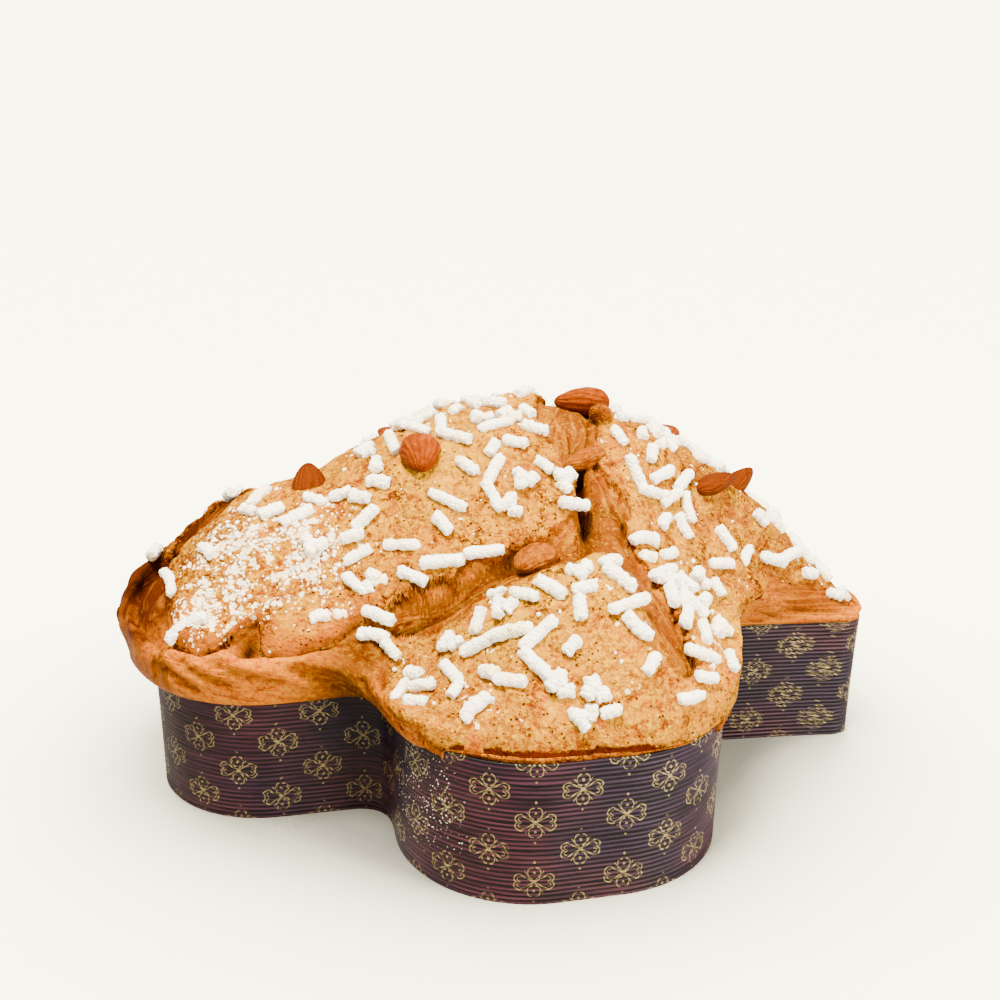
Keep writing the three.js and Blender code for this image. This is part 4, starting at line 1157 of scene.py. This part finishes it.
class COLOMBA_OT_case(bpy.types.Operator):
    """Builds the ribbed paper case"""
    bl_idname = "colomba.case"
    bl_label = "Paper case"

    def execute(self, context):
        crust = context.scene.colomba_crust
        height, wall = crust.case_height / MM, crust.case_wall / MM
        columns, rows = 720, crust.rib_count * 4
        angle = facet_angles(columns)
        outline = radius_at(case_distance, angle, 0) * np.exp(1j * angle)
        run = np.concatenate(([0], np.cumsum(np.abs(np.roll(outline, -1) - outline))))
        bm = bmesh.new()
        bmesh.ops.create_grid(bm, x_segments=columns, y_segments=rows, size=1, calc_uvs=True)
        uv = bm.loops.layers.uv.verify()
        for face in bm.faces:
            for loop in face.loops:
                column = round((loop.vert.co.x + 1) / 2 * columns)
                loop[uv].uv = (run[column] * MM, (loop.vert.co.y + 1) / 2 * height * MM)
        grid = positions(bm)
        column = np.round((grid[:, 0] + 1) / 2 * columns).astype(int)
        up = (grid[:, 1] + 1) / 2
        theta = angle[column % columns]
        rib = 0.5 - 0.5 * np.cos(2 * math.pi * up * crust.rib_count)
        bent = 0.35 * wobble(np.column_stack((40 * np.cos(theta), 40 * np.sin(theta), 2 * up)), 9, 8)
        out = -crust.rib_depth / MM * rib + 1.0 * up**2 + bent * ease(up, 0.1, 0.9)
        r = radius_at(case_distance, theta, out)
        place(bm.verts, np.column_stack((r * np.cos(theta), r * np.sin(theta), up * height)))
        bmesh.ops.remove_doubles(bm, verts=bm.verts, dist=0.01)
        rim = [e for e in bm.edges if e.is_boundary and e.verts[0].co.z > height / 2]
        foot = [e for e in bm.edges if e.is_boundary and e.verts[0].co.z < height / 2]
        for inward, down in ((wall, 0), (wall + 0.3, 12)):
            verts, rim = extrude(bm, rim)
            here = np.array([math.atan2(v.co.y, v.co.x) for v in verts])
            r = radius_at(case_distance, here, 1.0 - inward)
            level = np.full(len(verts), height - down)
            place(verts, np.column_stack((r * np.cos(here), r * np.sin(here), level)))
        bmesh.ops.triangle_fill(bm, use_beauty=True, edges=foot)
        new_piece(bm, "ribbed_case", case_material(run[-1]), ("paper_case",))
        return {"FINISHED"}


class COLOMBA_OT_stage(bpy.types.Operator):
    """Sets up the floor, the lights and the camera"""
    bl_idname = "colomba.stage"
    bl_label = "Stage"

    def execute(self, context):
        stage = context.scene.colomba_stage
        self.backdrop(context, stage)
        warm, soft = (1, 0.94, 0.76), (1, 0.95, 0.8)
        self.light(context, "key", (-0.35, -0.25, 1.65), 0.45, stage.key_power, warm)
        self.light(context, "fill", (1.2, -1.1, 0.7), 1.0, stage.key_power * 0.3, soft)
        self.light(context, "front", (0.8, -1.45, 0.45), 0.8, stage.key_power * 0.3, soft)
        world = bpy.data.worlds.new("soft_room")
        world.use_nodes = True
        world.node_tree.nodes["Background"].inputs[0].default_value = (*soft, 1)
        world.node_tree.nodes["Background"].inputs[1].default_value = stage.room_light
        context.scene.world = world
        data = bpy.data.cameras.new("photo_view")
        camera = bpy.data.objects.new("photo_view", data)
        context.scene.collection.objects.link(camera)
        data.lens = stage.lens
        data.sensor_width = 36
        forward, right = Vector(stage.camera_forward), Vector(stage.camera_right)
        up = right.cross(forward)
        turn = Matrix((right, up, -forward)).transposed().to_4x4()
        camera.matrix_world = Matrix.Translation(stage.camera_place) @ turn
        context.scene.camera = camera
        return {"FINISHED"}

    def light(self, context, name, place_at, size, power, colour):
        data = bpy.data.lights.new(name, "AREA")
        data.shape = "DISK"
        data.size = size
        data.energy = power
        data.color = colour
        lamp = bpy.data.objects.new(name, data)
        context.scene.collection.objects.link(lamp)
        lamp.location = place_at
        lamp.rotation_euler = (Vector((0, 0, 0.06)) - Vector(place_at)).to_track_quat("-Z", "Y").to_euler()

    def backdrop(self, context, stage):
        whole, flat, near, bend, half_width = 14.0, 10.0, 7.0, 1.5, 7.0
        bm = bmesh.new()
        bmesh.ops.create_grid(bm, x_segments=8, y_segments=48, size=1)
        for vert in bm.verts:
            past = (vert.co.y + 1) / 2 * whole - flat
            turn = min(max(past / bend, 0), math.pi / 2)
            y = flat - near + min(past, 0) + bend * math.sin(turn)
            z = bend * (1 - math.cos(turn)) + max(past - bend * math.pi / 2, 0)
            vert.co = (vert.co.x * half_width, y, z)
        mesh = bpy.data.meshes.new("floor")
        for face in bm.faces:
            face.smooth = True
        bm.to_mesh(mesh)
        bm.free()
        floor = bpy.data.objects.new("floor", mesh)
        context.scene.collection.objects.link(floor)
        material, tree, shader = new_material("pale_floor")
        tint = tree.noise(tree.coordinates(), 14, 4, 0.6)
        # The camera sees the floor mostly as glow over a dark base colour. The glow fades by ambient
        # occlusion round the cake, as a painted contact shadow.
        near = tree.node("ShaderNodeAmbientOcclusion", {"Distance": 0.16}, samples=2).outputs["AO"]
        seen = tree.node("ShaderNodeLightPath").outputs["Is Camera Ray"]
        glow_with_painted_shadow = tree.times(tree.math("POWER", near, 4.4), seen)
        base = tree.mix(seen, (0.3, 0.29, 0.27), (0.03, 0.03, 0.03))
        finish_shader(tree, shader, Base_Color=base, Roughness=0.95,
                      Normal=tree.bump(tint, 0.6, 0.3), Emission_Color=(1.0, 0.91, 0.62),
                      Emission_Strength=tree.times(glow_with_painted_shadow, stage.floor_glow))
        mesh.materials.append(material)
        floor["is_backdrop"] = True


class COLOMBA_PT_panel(bpy.types.Panel):
    """Lists the pieces of the cake"""
    bl_idname = "COLOMBA_PT_panel"
    bl_label = "Colomba"
    bl_space_type = "VIEW_3D"
    bl_region_type = "UI"
    bl_category = "Colomba"

    def draw(self, context):
        for operator in OPERATORS:
            self.layout.operator(operator.bl_idname)


OPERATORS = (COLOMBA_OT_dough, COLOMBA_OT_glaze, COLOMBA_OT_sugar, COLOMBA_OT_crumbs, COLOMBA_OT_almonds,
             COLOMBA_OT_case, COLOMBA_OT_stage)
SETTINGS = {"colomba_crust": ColombaCrustSettings, "colomba_sugar": ColombaSugarSettings,
            "colomba_stage": ColombaStageSettings}


def register():
    for kind in (*SETTINGS.values(), *OPERATORS, COLOMBA_PT_panel):
        bpy.utils.register_class(kind)
    for name, kind in SETTINGS.items():
        setattr(bpy.types.Scene, name, PointerProperty(type=kind))


def unregister():
    for name in SETTINGS:
        delattr(bpy.types.Scene, name)
    for kind in (COLOMBA_PT_panel, *reversed(OPERATORS), *reversed(list(SETTINGS.values()))):
        bpy.utils.unregister_class(kind)


def main():
    register()
    bpy.ops.colomba.dough()
    bpy.ops.colomba.glaze()
    bpy.ops.colomba.sugar()
    bpy.ops.colomba.crumbs()
    bpy.ops.colomba.almonds()
    bpy.ops.colomba.case()
    bpy.ops.colomba.stage()
    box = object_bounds()
    boxes = {"cad": CAD_BOX, "visual": box}
    {name: [list(corner) for corner in corners] for name, corners in boxes.items()}


if __name__ == "__main__":
    main()
